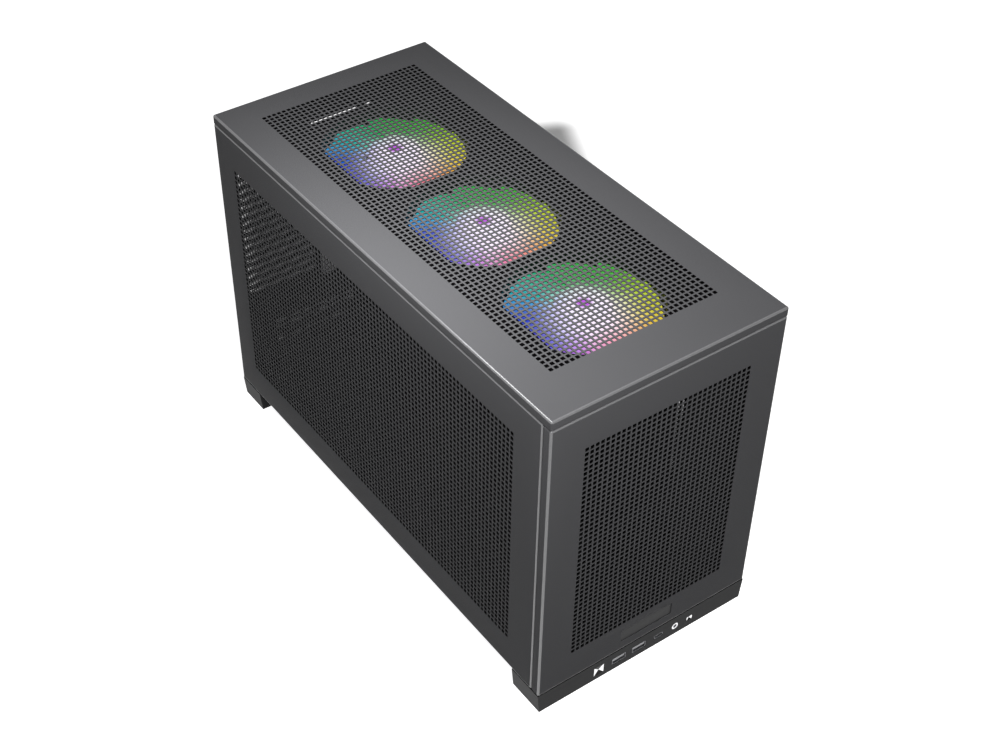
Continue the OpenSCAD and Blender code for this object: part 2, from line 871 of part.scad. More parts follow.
module motherboard_tray() color(inner_steel)
    difference() {
        union() {
            block([board_x, tray_y0, z_floor], [tray_x1, tray_y1, tray_z1]);
            block([board_x, tray_y0, z_floor], [tray_x1 + tray_lip, tray_flange_y1, z_floor + sheet]);
            block([board_x, tray_y0, tray_z1 - sheet], [tray_x1 + tray_lip, tray_flange_y1, tray_z1]);
            block([board_x, y_in_front, tray_tab_z - 3.9], [tray_x1, tray_y0 + over, tray_tab_z + 3.9]);
            block([board_x, y_in_front, tray_tab_z - 3.9],
                [tray_x1 + tray_lip, y_in_front + sheet, tray_tab_z + 3.9]);
            block([board_x, tray_y1 - over, tab_z0], [tray_x1, y_in_rear, tab_z0 + tab_h]);
            block([board_x, y_in_rear - sheet, tab_z0], [tray_x1 + tray_lip, y_in_rear, tab_z0 + tab_h]);
        }
        block([board_x - over, cpu_y[0], cpu_z[0]], [tray_x1 + over, cpu_y[1], cpu_z[1]]);
        block([board_x - over, cable_y[0], cable_z[0]], [tray_x1 + over, cable_y[1], cable_z[1]]);
        rivet_holes();
    }

module motherboard_standoffs() color(brass)
    for (p = board_holes)
        translate([board_x, p[0], p[1]])
            rotate([0, -90, 0])
                difference() {
                    cylinder(h = standoff_h, r = standoff_af / 2 / cos(30), $fn = 6);
                    translate([0, 0, 0.6])
                        cylinder(h = standoff_h, r = board_hole_r);
                }

module psu_bracket() color(inner_steel)
    difference() {
        union() {
            block([tray_x1, psu_y, psu_z - psu_h / 2 - 4],
                [psu_x + psu_w / 2 + 1, psu_y + sheet, psu_z + psu_h / 2 + 4]);
            block([tray_x1, psu_y, psu_z - psu_h / 2 - 4],
                [tray_x1 + sheet, psu_y + flange + 2, psu_z + psu_h / 2 + 4]);
        }
        block([psu_x - psu_open_w / 2, psu_y - over, psu_z - psu_open_h / 2],
            [psu_x + psu_open_w / 2, psu_y + sheet + over, psu_z + psu_open_h / 2]);
        for (x = [-1, 1], z = [-1, 1])
            rod_y(psu_hole_r, psu_x + x * psu_hole_x / 2, psu_z + z * psu_hole_z / 2,
                psu_y - over, psu_y + sheet + over);
        rivet_holes();
    }

module drive_bracket() color(inner_steel) {
    y0 = drive_y - drive_w / 2;
    y1 = drive_y + drive_w / 2;
    z0 = drive_z - drive_h / 2;
    z1 = drive_z + drive_h / 2;
    difference() {
        union() {
            block([tray_x1 + drive_gap, y0, z0], [tray_x1 + drive_gap + sheet, y1, z1]);
            block([tray_x1, y0, z0], [tray_x1 + drive_gap + sheet, y0 + sheet, z1]);
            block([tray_x1, y1 - sheet, z0], [tray_x1 + drive_gap + sheet, y1, z1]);
            block([tray_x1, y0 - drive_lip, z0], [tray_x1 + sheet, y0 + sheet, z1]);
            block([tray_x1, y1 - sheet, z0], [tray_x1 + sheet, y1 + drive_lip, z1]);
        }
        for (y = [-1, 1], z = [-1, 1])
            rod_x(drive_hole_r, drive_y + y * drive_hole_y / 2, drive_z + z * drive_hole_z / 2,
                tray_x1 + drive_gap - over, tray_x1 + drive_gap + sheet + over);
        rivet_holes();
    }
}

module panel_clips() color(black_plastic) {
    top_pin_places()
        translate([0, 0, z_tray])
            pin_clip();
    front_pin_places()
        translate([0, y_in_front, 0])
            rotate([90, 0, 0])
                pin_clip();
    side_pin_places() {
        translate([-x_chassis, 0, 0])
            rotate([0, 90, 0])
                pin_clip();
        translate([x_chassis, 0, 0])
            rotate([0, -90, 0])
                pin_clip();
    }
}

module chassis_rivets() color(black_steel) {
    rivet_shanks(rivet_r);
    for (p = rivets_rear)
        rod_y(rivet_head_r, p[0], p[1], y_rear, y_rear + rivet_head_h);
    for (p = rivets_front)
        rod_y(rivet_head_r, p[0], p[1], y_bulkhead - rivet_head_h, y_bulkhead);
    for (p = rivets_top)
        rod_z(rivet_head_r, p[0], p[1], z_tray + sheet, z_tray + sheet + rivet_head_h);
    for (p = rivets_floor)
        rod_z(rivet_head_r, p[0], p[1], z_floor + sheet, z_floor + sheet + rivet_head_h);
    for (p = rivets_tray)
        rod_x(rivet_head_r, p[0], p[1], tray_x1 + sheet, tray_x1 + sheet + rivet_head_h);
}

// Expansion slots

function slot_z(i) = slot_z_top - (i - 1) * slot_pitch;

module slot_carrier() color(inner_steel)
    difference() {
        union() {
            block([pocket_x0 - sheet, y_pocket, pocket_z0 - sheet],
                [pocket_x1 + sheet, y_in_rear, pocket_z1 + sheet]);
            block([pocket_x0 - 5.8, y_in_rear - sheet, pocket_z0 - sheet],
                [pocket_x0, y_in_rear, pocket_z1 + sheet]);
            block([pocket_x0 - sheet, y_in_rear - sheet, pocket_z1],
                [pocket_x1 + sheet, y_in_rear, io_z0 - 1]);
        }
        block([pocket_x0, y_pocket + sheet, pocket_z0], [pocket_x1, y_rear, pocket_z1]);
        for (i = [1 : slots]) {
            block([slot_open_x0, y_pocket - over, slot_z(i) - slot_open_h / 2],
                [slot_open_x0 + slot_open_l, y_pocket + sheet + over, slot_z(i) + slot_open_h / 2]);
            block([pocket_x0, y_pocket - over, slot_z(i) - cover_w / 2 - 0.3],
                [pocket_x0 + cover_t + 0.4, y_pocket + sheet + over, slot_z(i) + cover_w / 2 + 0.3]);
            rod_x(screw_hole_r, slot_screw_y, slot_z(i), pocket_x0 - sheet - over, pocket_x0 + over);
        }
        rivet_holes();
    }

module slot_cover(i) color(black_steel)
    translate([pocket_x0, y_pocket - cover_t, slot_z(i)])
        difference() {
            union() {
                block([0, 0, -cover_w / 2], [cover_l - cover_tab, cover_t, cover_w / 2]);
                block([cover_l - cover_tab - over, 0, -cover_tab_w / 2], [cover_l, cover_t, cover_tab_w / 2]);
                block([0, 0, -cover_w / 2], [cover_t, cover_flange, cover_w / 2]);
            }
            for (x = [0 : 5], z = [-1, 1])
                translate([22 + x * 14, -over, z * 3])
                    rotate([-90, 0, 0])
                        linear_extrude(cover_t + 2 * over)
                            round_rect(10, 2.6, 1.29);
            translate([-over, slot_screw_y - y_pocket + cover_t, 0]) {
                rotate([0, 90, 0])
                    cylinder(h = cover_t + 2 * over, r = 2.2);
                translate([0, 0, -2.2])
                    cube([cover_t + 2 * over, cover_flange, 4.4]);
            }
        }

module slot_thumbscrews() color(bright_metal)
    for (i = [1 : slots]) {
        rod_x(screw_r, slot_screw_y, slot_z(i), pocket_x0 - 3, pocket_x0 + cover_t + 1);
        difference() {
            rod_x(thumb_r, slot_screw_y, slot_z(i), pocket_x0 + cover_t, pocket_x0 + cover_t + thumb_l);
            for (a = [0 : 20 : 340])
                translate([pocket_x0 + cover_t + 1.2, slot_screw_y, slot_z(i)])
                    rotate([a, 0, 0])
                        translate([0, -0.3, thumb_r - 0.4])
                            cube([thumb_l, 0.6, 1]);
        }
    }

// Power inlet

// Stands the inlet upright in the rear panel
module at_inlet() {
    translate([inlet_x, 0, inlet_z])
        rotate([0, 90, 0])
            children();
}

module inlet_mouth(w, h) {
    polygon([[-w / 2, -h / 2], [w / 2, -h / 2], [w / 2, h / 2 - 4], [w / 2 - 4, h / 2],
        [-w / 2 + 4, h / 2], [-w / 2, h / 2 - 4]]);
}

module inlet_housing() color(black_plastic)
    at_inlet()
        difference() {
            union() {
                translate([0, y_rear + inlet_lip, 0])
                    rotate([90, 0, 0])
                        linear_extrude(inlet_lip)
                            round_rect(inlet_w, inlet_h, 3);
                block([-inlet_cut_w / 2 + 0.2, y_rear - inlet_d, -inlet_cut_h / 2 + 0.2],
                    [inlet_cut_w / 2 - 0.2, y_rear + 1, inlet_cut_h / 2 - 0.2]);
            }
            translate([0, y_rear + inlet_lip + over, 0])
                rotate([90, 0, 0])
                    linear_extrude(inlet_recess + over)
                        inlet_mouth(inlet_mouth_w, inlet_mouth_h);
            for (side = [-1, 1])
                rod_y(screw_hole_r, side * inlet_pitch / 2, 0, y_rear - over, y_rear + inlet_lip + over);
        }

module inlet_pins() color(bright_metal)
    at_inlet()
        for (p = [[-7, -2], [7, -2], [0, 2]])
            translate([p[0], y_rear + inlet_lip - inlet_recess, p[1]])
                block([-1, 0, -2], [1, inlet_pin_l, 2]);

module inlet_screws() color(bright_metal)
    at_inlet()
        for (side = [-1, 1]) {
            rod_y(screw_r, side * inlet_pitch / 2, 0, y_in_rear - 3, y_rear + inlet_lip + 0.5);
            rod_y(screw_head_r, side * inlet_pitch / 2, 0, y_rear + inlet_lip, y_rear + inlet_lip + screw_head_h);
        }

// Port board and ports

module io_board() color(board_green)
    difference() {
        block([io_board_x[0], io_board_y[0], board_top - io_board_t],
            [io_board_x[1], io_board_y[1], board_top]);
        for (x = io_screw_x)
            rod_z(base_screw_r + 0.3, x, io_screw_y, board_top - io_board_t - over, board_top + over);
    }

module io_board_screws() color(bright_metal)
    for (x = io_screw_x) {
        rod_z(base_screw_r, x, io_screw_y, board_top - io_board_t - 1.9, board_top + 0.2);
        rod_z(base_head_r, x, io_screw_y, board_top, board_top + base_head_h);
    }

module usb_a_shell(x) color(bright_metal)
    translate([x, y_port + port_inset, port_z])
        rotate([-90, 0, 0])
            difference() {
                linear_extrude(usb_a_l)
                    round_rect(usb_a_w, usb_a_h, 0.6);
                translate([0, 0, -over])
                    linear_extrude(usb_a_l + over - 1)
                        round_rect(usb_a_w - 2 * shell_t, usb_a_h - 2 * shell_t, 0.3);
            }

module usb_a_tongue(x) color("#d8dadf")
    translate([x, y_port + port_inset, port_z])
        block([-usb_a_w / 2 + 1, tongue_in, -0.1], [usb_a_w / 2 - 1, usb_a_l - 1, 1.74]);

module usb_c_shell() color(bright_metal) {
    translate([usb_c_x, y_port + port_inset, port_z])
        rotate([-90, 0, 0])
            difference() {
                linear_extrude(usb_c_l)
                    round_rect(usb_c_w, usb_c_h, usb_c_h / 2 - 0.01);
                translate([0, 0, -over])
                    linear_extrude(usb_c_l + over - 1)
                        round_rect(usb_c_w - 2 * shell_t, usb_c_h - 2 * shell_t, usb_c_h / 2 - shell_t - 0.01);
            }
    for (side = [-1, 1])
        translate([usb_c_x + side * 2.4, y_port + port_inset, 0])
            block([-0.6, usb_c_l - 1.2, board_top], [0.6, usb_c_l, port_z - usb_c_h / 2 + 0.2]);
}

module usb_c_tongue() color(black_plastic)
    translate([usb_c_x, y_port + port_inset, port_z])
        block([-usb_c_w / 2 + 1.1, tongue_in, -0.35], [usb_c_w / 2 - 1.1, usb_c_l - 1, 0.35]);

module audio_jack_body() color(black_plastic)
    difference() {
        block([jack_x - jack_body_w / 2, y_wall_in + 0.4, board_top],
            [jack_x + jack_body_w / 2, y_wall_in + 0.4 + jack_body_l, port_z + usb_a_h / 2]);
        rod_y(jack_r, jack_x, port_z, y_wall_in, y_wall_in + jack_body_l - 1);
    }

module audio_jack_ring() color(bright_metal)
    difference() {
        rod_y(jack_ring_r, jack_x, port_z, y_port + 0.1, y_wall_in + 0.4);
        rod_y(jack_r, jack_x, port_z, y_port - over, y_wall_in + over);
    }

// A shallow four-sided pit, cut into a square cap whose face is at z = 0
module pit(w) {
    intersection() {
        rotate([90, 0, 0])
            linear_extrude(w + over, center = true)
                polygon([[-w / 2, 0], [w / 2, 0], [0, -button_pit]]);
        rotate([90, 0, 90])
            linear_extrude(w + over, center = true)
                polygon([[-w / 2, 0], [w / 2, 0], [0, -button_pit]]);
    }
}

module power_button() color(bright_metal) {
    y_flange = y_wall_in + port_gap;
    face_front(y_port + 0.1, port_z)
        translate([power_x, 0, 0])
            difference() {
                translate([-power_w / 2, -power_w / 2, -(y_flange - y_port - 0.1) - 0.2])
                    cube([power_w, power_w, y_flange - y_port - 0.1 + 0.2]);
                pit(power_w - 0.4);
            }
    block([power_x - power_w / 2 - button_flange, y_flange, port_z - power_w / 2 - button_flange],
        [power_x + power_w / 2 + button_flange, y_flange + button_flange_t, port_z + power_w / 2 + button_flange]);
    rod_y(button_stem_r, power_x, port_z, y_flange, stem_end());
}

module reset_button() color(bright_metal) {
    y_flange = y_wall_in + port_gap;
    difference() {
        rod_y(reset_r, reset_x, port_z, y_port + 0.1, y_flange + 0.2);
        face_front(y_port + 0.1, port_z)
            translate([reset_x, 0, 0])
                pit(2 * reset_r - 1.4);
    }
    rod_y(reset_r + button_flange, reset_x, port_z, y_flange, y_flange + button_flange_t);
    rod_y(button_stem_r, reset_x, port_z, y_flange, stem_end());
}

module push_switch(x, travel) {
    y0 = plunger_y(travel);
    rod_y(plunger_r, x, port_z, y0, y0 + plunger_l + 0.2);
    block([x - switch_w / 2, y0 + plunger_l, board_top],
        [x + switch_w / 2, y0 + plunger_l + switch_l, port_z + switch_w / 2]);
}

module power_switch() color(black_plastic) push_switch(power_x, power_travel);

module reset_switch() color(black_plastic) push_switch(reset_x, reset_travel);

// Fans

// A square frame with a round bore, and four struts that carry the motor
module fan_frame(i) color(fan_black)
    translate([0, fan_y(i), fan_z]) {
        difference() {
            linear_extrude(fan_depth)
                round_rect(fan_size, fan_size, frame_corner);
            translate([0, 0, -over])
                cylinder(h = fan_depth + 2 * over, r = bore_r);
            for (x = [-1, 1], y = [-1, 1])
                translate([x * fan_hole_pitch / 2, y * fan_hole_pitch / 2, -over])
                    cylinder(h = fan_depth + 2 * over, r = fan_hole_r);
        }
        difference() {
            union() {
                cylinder(h = strut_t, r = motor_r);
                for (a = [45 : 90 : 315])
                    rotate([0, 0, a])
                        translate([motor_r - 2, -strut_w / 2, 0])
                            cube([bore_r + 1 - motor_r + 2, strut_w, strut_t]);
            }
            translate([0, 0, strut_t - 0.8])
                cylinder(h = over, r = shaft_r + 1);
        }
    }

module fan_stator(i) color(inner_steel)
    translate([0, fan_y(i), fan_z + strut_t])
        difference() {
            union() {
                cylinder(h = stator_top - strut_t, r = shaft_r + 2.5);
                translate([0, 0, 2])
                    cylinder(h = stator_top - strut_t - 3, r = stator_r - 6);
                for (a = [0 : 90 : 270])
                    rotate([0, 0, a])
                        translate([0, -2, 2])
                            cube([stator_r - 1, 4, stator_top - strut_t - 3]);
            }
            translate([0, 0, -over])
                cylinder(h = fan_depth, r = shaft_r + shaft_gap);
        }

// A blade is a grid of points between its root and its tip, with an upper and a lower skin
function blade_angle(u, v) =
    blade_sweep * u + (v - 0.5) * (blade_root_angle + u * (blade_tip_angle - blade_root_angle));
function blade_z(u, v, side) =
    blade_mid + (v - 0.5) * (blade_root_h + u * (blade_tip_h - blade_root_h)) + (side - 0.5) * blade_t
    + 1.6 * sin(180 * v);
function blade_r(u) = hub_r - 1 + u * (tip_r - hub_r + 1);
blade_points = [
    for (side = [0, 1], i = [0 : blade_span], j = [0 : blade_steps])
        let (u = i / blade_span, v = j / blade_steps, a = blade_angle(u, v))
            [blade_r(u) * cos(a), blade_r(u) * sin(a), blade_z(u, v, side)]
];
function at(side, i, j) = side * (blade_span + 1) * (blade_steps + 1) + i * (blade_steps + 1) + j;
blade_faces = [
    for (i = [0 : blade_span - 1], j = [0 : blade_steps - 1])
        each [
            [at(1, i, j), at(1, i, j + 1), at(1, i + 1, j + 1)],
            [at(1, i, j), at(1, i + 1, j + 1), at(1, i + 1, j)],
            [at(0, i, j), at(0, i + 1, j), at(0, i + 1, j + 1)],
            [at(0, i, j), at(0, i + 1, j + 1), at(0, i, j + 1)]
        ],
    for (j = [0 : blade_steps - 1])
        each [
            [at(1, 0, j + 1), at(1, 0, j), at(0, 0, j)],
            [at(1, 0, j + 1), at(0, 0, j), at(0, 0, j + 1)],
            [at(1, blade_span, j), at(1, blade_span, j + 1), at(0, blade_span, j + 1)],
            [at(1, blade_span, j), at(0, blade_span, j + 1), at(0, blade_span, j)]
        ],
    for (i = [0 : blade_span - 1])
        each [
            [at(1, i, 0), at(1, i + 1, 0), at(0, i + 1, 0)],
            [at(1, i, 0), at(0, i + 1, 0), at(0, i, 0)],
            [at(1, i + 1, blade_steps), at(1, i, blade_steps), at(0, i, blade_steps)],
            [at(1, i + 1, blade_steps), at(0, i, blade_steps), at(0, i + 1, blade_steps)]
        ]
];

module fan_rotor(i) color(fan_white)
    translate([0, fan_y(i), fan_z]) {
        difference() {
            translate([0, 0, strut_t + 1.2])
                cylinder(h = fan_depth - hub_drop - strut_t - 1.2, r = hub_r);
            translate([0, 0, strut_t])
                cylinder(h = fan_depth - hub_drop - hub_roof - strut_t, r = hub_r - hub_wall);
        }
        translate([0, 0, strut_t + 0.2])
            cylinder(h = fan_depth - hub_drop - strut_t - 1.2, r = shaft_r);
        for (k = [0 : blades - 1])
            rotate([0, 0, k * 360 / blades])
                polyhedron(blade_points, blade_faces);
    }

module fan_screws() color(black_steel)
    for (i = [1 : fan_count], x = [-1, 1], y = [-1, 1])
        translate([x * fan_hole_pitch / 2, fan_y(i) + y * fan_hole_pitch / 2, z_tray + sheet]) {
            translate([0, 0, -fan_screw_l])
                cylinder(h = fan_screw_l + 0.5, r = fan_screw_r);
            cylinder(h = fan_head_h, r = fan_head_r);
        }

top_cover();
top_cover_studs();
front_cover();
front_cover_studs();
badge_plate();
left_side_panel();
left_panel_studs();
right_side_panel();
right_panel_studs();
front_base();
rear_base();
foot_pads();
base_screws();
base_tray();
rear_panel();
front_bulkhead();
fan_tray();
motherboard_tray();
motherboard_standoffs();
psu_bracket();
drive_bracket();
panel_clips();
chassis_rivets();
slot_carrier();
slot_cover(1);  // slot_cover_1
slot_cover(2);  // slot_cover_2
slot_thumbscrews();
inlet_housing();
inlet_pins();
inlet_screws();
io_board();
io_board_screws();
usb_a_shell(usb_1_x);  // usb_a_shell_1
usb_a_tongue(usb_1_x);  // usb_a_tongue_1
usb_a_shell(usb_2_x);  // usb_a_shell_2
usb_a_tongue(usb_2_x);  // usb_a_tongue_2
usb_c_shell();
usb_c_tongue();
audio_jack_body();
audio_jack_ring();
power_button();
power_switch();
reset_button();
reset_switch();
fan_frame(1);  // fan_frame_1
fan_frame(2);  // fan_frame_2
fan_frame(3);  // fan_frame_3
fan_stator(1);  // fan_stator_1
fan_stator(2);  // fan_stator_2
fan_stator(3);  // fan_stator_3
fan_rotor(1);  // fan_rotor_1
fan_rotor(2);  // fan_rotor_2
fan_rotor(3);  // fan_rotor_3
fan_screws();
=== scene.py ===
"""Dresses the perforated computer case: finely punched sheets, lit fans, finishes, light and camera."""

import math

import bmesh
import bpy
import numpy as np
from bpy.props import FloatProperty, IntProperty, PointerProperty, StringProperty
from mathutils import Matrix, Vector
from mathutils.geometry import tessellate_polygon


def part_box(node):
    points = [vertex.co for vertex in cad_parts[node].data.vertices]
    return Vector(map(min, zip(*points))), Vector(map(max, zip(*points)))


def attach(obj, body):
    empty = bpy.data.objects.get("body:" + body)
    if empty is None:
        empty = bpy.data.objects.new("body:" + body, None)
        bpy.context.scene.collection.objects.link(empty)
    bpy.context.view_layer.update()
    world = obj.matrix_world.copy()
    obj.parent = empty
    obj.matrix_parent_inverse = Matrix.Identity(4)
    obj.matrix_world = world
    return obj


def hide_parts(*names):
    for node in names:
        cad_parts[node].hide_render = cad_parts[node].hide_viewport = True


bl_info = {
    "name": "Perforated Mini ITX Case",
    "version": (1, 0, 0),
    "blender": (4, 5, 0),
    "location": "View3D > Sidebar > Case",
    "description": "Builds the punched covers, the lit fans and the finishes of a small computer case",
    "category": "Object",
}

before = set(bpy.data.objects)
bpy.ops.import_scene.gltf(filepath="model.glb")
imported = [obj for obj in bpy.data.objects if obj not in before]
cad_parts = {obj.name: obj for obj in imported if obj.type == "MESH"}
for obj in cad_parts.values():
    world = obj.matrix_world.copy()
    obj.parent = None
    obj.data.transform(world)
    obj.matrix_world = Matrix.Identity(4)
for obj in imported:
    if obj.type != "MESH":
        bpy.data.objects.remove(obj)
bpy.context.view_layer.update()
MM = 0.001


# Sizes and colours that a user would change


class CaseSizes(bpy.types.PropertyGroup):
    """Sizes of the punched sheets and the fans, in metres."""

    hole_pitch: FloatProperty(
        name="Hole pitch", description="Distance from one punched hole to the next", default=0.00446, unit="LENGTH"
    )
    hole_width: FloatProperty(
        name="Hole width", description="Side of a punched square hole", default=0.0031, unit="LENGTH"
    )
    hole_corner: FloatProperty(
        name="Hole corner", description="How far a hole's corners are cut off", default=0.0004, unit="LENGTH"
    )
    sheet: FloatProperty(name="Sheet", description="Thickness of the folded steel", default=0.0006, unit="LENGTH")
    fold: FloatProperty(name="Fold radius", description="Outer radius of each fold", default=0.0014, unit="LENGTH")
    fold_steps: IntProperty(name="Fold steps", description="Faces round a quarter of a fold", default=5, min=2, max=12)
    blade_count: IntProperty(name="Blades", description="Number of blades of a fan", default=9, min=5, max=11)


class CaseColours(bpy.types.PropertyGroup):
    """Colours of the finishes, as sRGB hex values."""

    cover_coat: StringProperty(name="Cover coat", description="Powder coat of the covers", default="#59595b")
    chassis_coat: StringProperty(name="Chassis coat", description="Coat of the inner sheets", default="#111112")
    foot_plastic: StringProperty(
        name="Foot plastic", description="Moulded plastic of the feet and the port strip", default="#171718"
    )
    floor: StringProperty(
        name="Floor bounce", description="Floor as its light reaches the case, seen as near white", default="#525252"
    )


class CaseLight(bpy.types.PropertyGroup):
    """Strength of the studio lamps and of the fans' own light."""

    key: FloatProperty(name="Key", description="Power of the lamp in front of the case", default=9.0, unit="POWER")
    overhead: FloatProperty(
        name="Overhead", description="Power of the lamp over the top cover", default=1.2, unit="POWER"
    )
    softbox: FloatProperty(
        name="Softbox", description="Power of the large lamp behind the case", default=1.3, unit="POWER"
    )
    room: FloatProperty(name="Room", description="Brightness of the room's own light", default=0.06)
    fan_glow: FloatProperty(name="Fan glow", description="Strength of the light in the blades", default=1.15)


# Finishes


def linear(hex_colour):
    """Turns an sRGB hex value into linear RGBA."""
    channels = [int(hex_colour[i : i + 2], 16) / 255 for i in (1, 3, 5)]
    return [c / 12.92 if c <= 0.04045 else ((c + 0.055) / 1.055) ** 2.4 for c in channels] + [1.0]


def add_node(tree, kind, sockets=None, **settings):
    """Adds a node, sets its options, and sets or links its input sockets."""
    node = tree.nodes.new(kind)
    for name, value in settings.items():
        setattr(node, name, value)
    for name, value in (sockets or {}).items():
        if isinstance(value, bpy.types.NodeSocket):
            tree.links.new(value, node.inputs[name])
        else:
            node.inputs[name].default_value = value
    return node


def start_material(name):
    """Returns a new material's tree with nothing in it."""
    material = bpy.data.materials.new(name)
    material.use_nodes = True
    material.node_tree.nodes.clear()
    return material, material.node_tree


def end_material(tree, shader):
    """Links the shader to the material's output."""
    add_node(tree, "ShaderNodeOutputMaterial", {"Surface": shader})


def grain(tree, size):
    """Noise whose grains are about size metres across."""
    place = add_node(tree, "ShaderNodeTexCoord")
    return add_node(tree, "ShaderNodeTexNoise", {"Vector": place.outputs["Object"], "Scale": 1 / size, "Detail": 2.0})


def tinted(tree, pattern, low, high):
    """A colour that wanders between two hex values with the pattern."""
    ramp = add_node(tree, "ShaderNodeValToRGB", {"Fac": pattern.outputs["Fac"]})
    ramp.color_ramp.elements[0].position = 0.35
    ramp.color_ramp.elements[0].color = linear(low)
    ramp.color_ramp.elements[1].position = 0.65
    ramp.color_ramp.elements[1].color = linear(high)
    return ramp.outputs["Color"]


def shade(hex_colour, factor):
    """A hex value made darker or lighter by a factor."""
    return "#" + "".join("%02x" % min(255, round(int(hex_colour[i : i + 2], 16) * factor)) for i in (1, 3, 5))


# Specular level of a coat: far under a real one's, set so that the sheets look as flat and even as photographed
MATT_GLOSS = 0.01


def powder_coated_steel(name, colour, roughness, gloss=MATT_GLOSS):
    """Polyester powder coat on steel: matt, with a fine uneven grain."""
    material, tree = start_material(name)
    # Real powder grain is about 0.1 mm, drawn at 0.5 mm so that it shows
    speckle = grain(tree, 0.5 * MM)
    colour = tinted(tree, speckle, shade(colour, 0.9), shade(colour, 1.1))
    bump = add_node(tree, "ShaderNodeBump", {"Height": speckle.outputs["Fac"], "Strength": 0.25, "Distance": 0.05 * MM})
    coat = add_node(
        tree,
        "ShaderNodeBsdfPrincipled",
        {
            "Base Color": colour,
            "Roughness": roughness,
            "IOR": 1.5,
            "Specular IOR Level": gloss,
            "Normal": bump.outputs["Normal"],
        },
    )
    end_material(tree, coat.outputs["BSDF"])
    return material


def moulded_plastic(name, colour, roughness, grain_size):
    """Moulded ABS: a fine spark-eroded texture and a soft sheen."""
    material, tree = start_material(name)
    texture = grain(tree, grain_size)
    bump = add_node(tree, "ShaderNodeBump", {"Height": texture.outputs["Fac"], "Strength": 0.2, "Distance": 0.04 * MM})
    plastic = add_node(
        tree,
        "ShaderNodeBsdfPrincipled",
        {
            "Base Color": tinted(tree, texture, shade(colour, 0.93), shade(colour, 1.07)),
            "Roughness": roughness,
            "IOR": 1.53,
            "Specular IOR Level": 0.1,
            "Normal": bump.outputs["Normal"],
        },
    )
    end_material(tree, plastic.outputs["BSDF"])
    return material


def worked_metal(name, colour, roughness, streak):
    """Bare or plated metal: fine streaks in its gloss, as rolling, turning or plating leaves them."""
    material, tree = start_material(name)
    place = add_node(tree, "ShaderNodeTexCoord")
    stretch = add_node(tree, "ShaderNodeMapping", {"Vector": place.outputs["Object"], "Scale": (1, 1, 8)})
    streaks = add_node(
        tree, "ShaderNodeTexNoise", {"Vector": stretch.outputs["Vector"], "Scale": 1 / streak, "Detail": 2.0}
    )
    gloss = add_node(
        tree,
        "ShaderNodeMapRange",
        {"Value": streaks.outputs["Fac"], "To Min": roughness * 0.8, "To Max": roughness * 1.25},
    )
    metal = add_node(
        tree,
        "ShaderNodeBsdfPrincipled",
        {
            "Base Color": tinted(tree, streaks, shade(colour, 0.92), shade(colour, 1.05)),
            "Metallic": 1.0,
            "Roughness": gloss.outputs["Result"],
        },
    )
    end_material(tree, metal.outputs["BSDF"])
    return material


def painted_reflection_metal(name, centre):
    """Metal with a painted reflection: coloured near white to both sides of its middle and near black above and below
    it, in a bow-tie.
    """
    material, tree = start_material(name)
    place = add_node(tree, "ShaderNodeTexCoord")
    shift = add_node(tree, "ShaderNodeVectorMath", {0: place.outputs["Object"], 1: centre}, operation="SUBTRACT")
    size = add_node(tree, "ShaderNodeVectorMath", {0: shift.outputs["Vector"]}, operation="ABSOLUTE")
    across = add_node(tree, "ShaderNodeSeparateXYZ", {"Vector": size.outputs["Vector"]})
    # Painted reflection: near white where a point lies further sideways than up or down from the middle, near black
    # elsewhere
    painted_reflection_mask = add_node(
        tree, "ShaderNodeMath", {0: across.outputs["X"], 1: across.outputs["Z"]}, operation="GREATER_THAN"
    )
    metal = add_node(
        tree,
        "ShaderNodeBsdfPrincipled",
        {
            "Base Color": blend(tree, painted_reflection_mask.outputs["Value"], linear("#050505"), linear("#dededf")),
            "Metallic": 1.0,
            "Roughness": 0.4,
        },
    )
    end_material(tree, metal.outputs["BSDF"])
    return material


def blend(tree, factor, low, high):
    """Mixes two colours, each a value or a socket, by the factor."""
    return add_node(tree, "ShaderNodeMix", {"Factor": factor, 6: low, 7: high}, data_type="RGBA").outputs[2]


def distance_ramp(tree, vector, near, far, low=0.0, high=1.0):
    """A smooth step from low to high as the vector's length goes from near to far."""
    length = add_node(tree, "ShaderNodeVectorMath", {0: vector}, operation="LENGTH")
    return add_node(
        tree,
        "ShaderNodeMapRange",
        {"Value": length.outputs["Value"], "From Min": near, "From Max": far, "To Min": low, "To Max": high},
        interpolation_type="SMOOTHSTEP",
    ).outputs["Result"]


# The blades' light, measured from the hub: its white middle lies a little off it, as the photograph shows
WHITE_MIDDLE = (-1 * MM, -8 * MM, 0)
WHITE_RAMP = (8 * MM, 46 * MM)
HEART_RAMP = (3 * MM, 8 * MM)
DIM_RAMP = (14 * MM, 50 * MM)
TIP_SHARE = 0.75


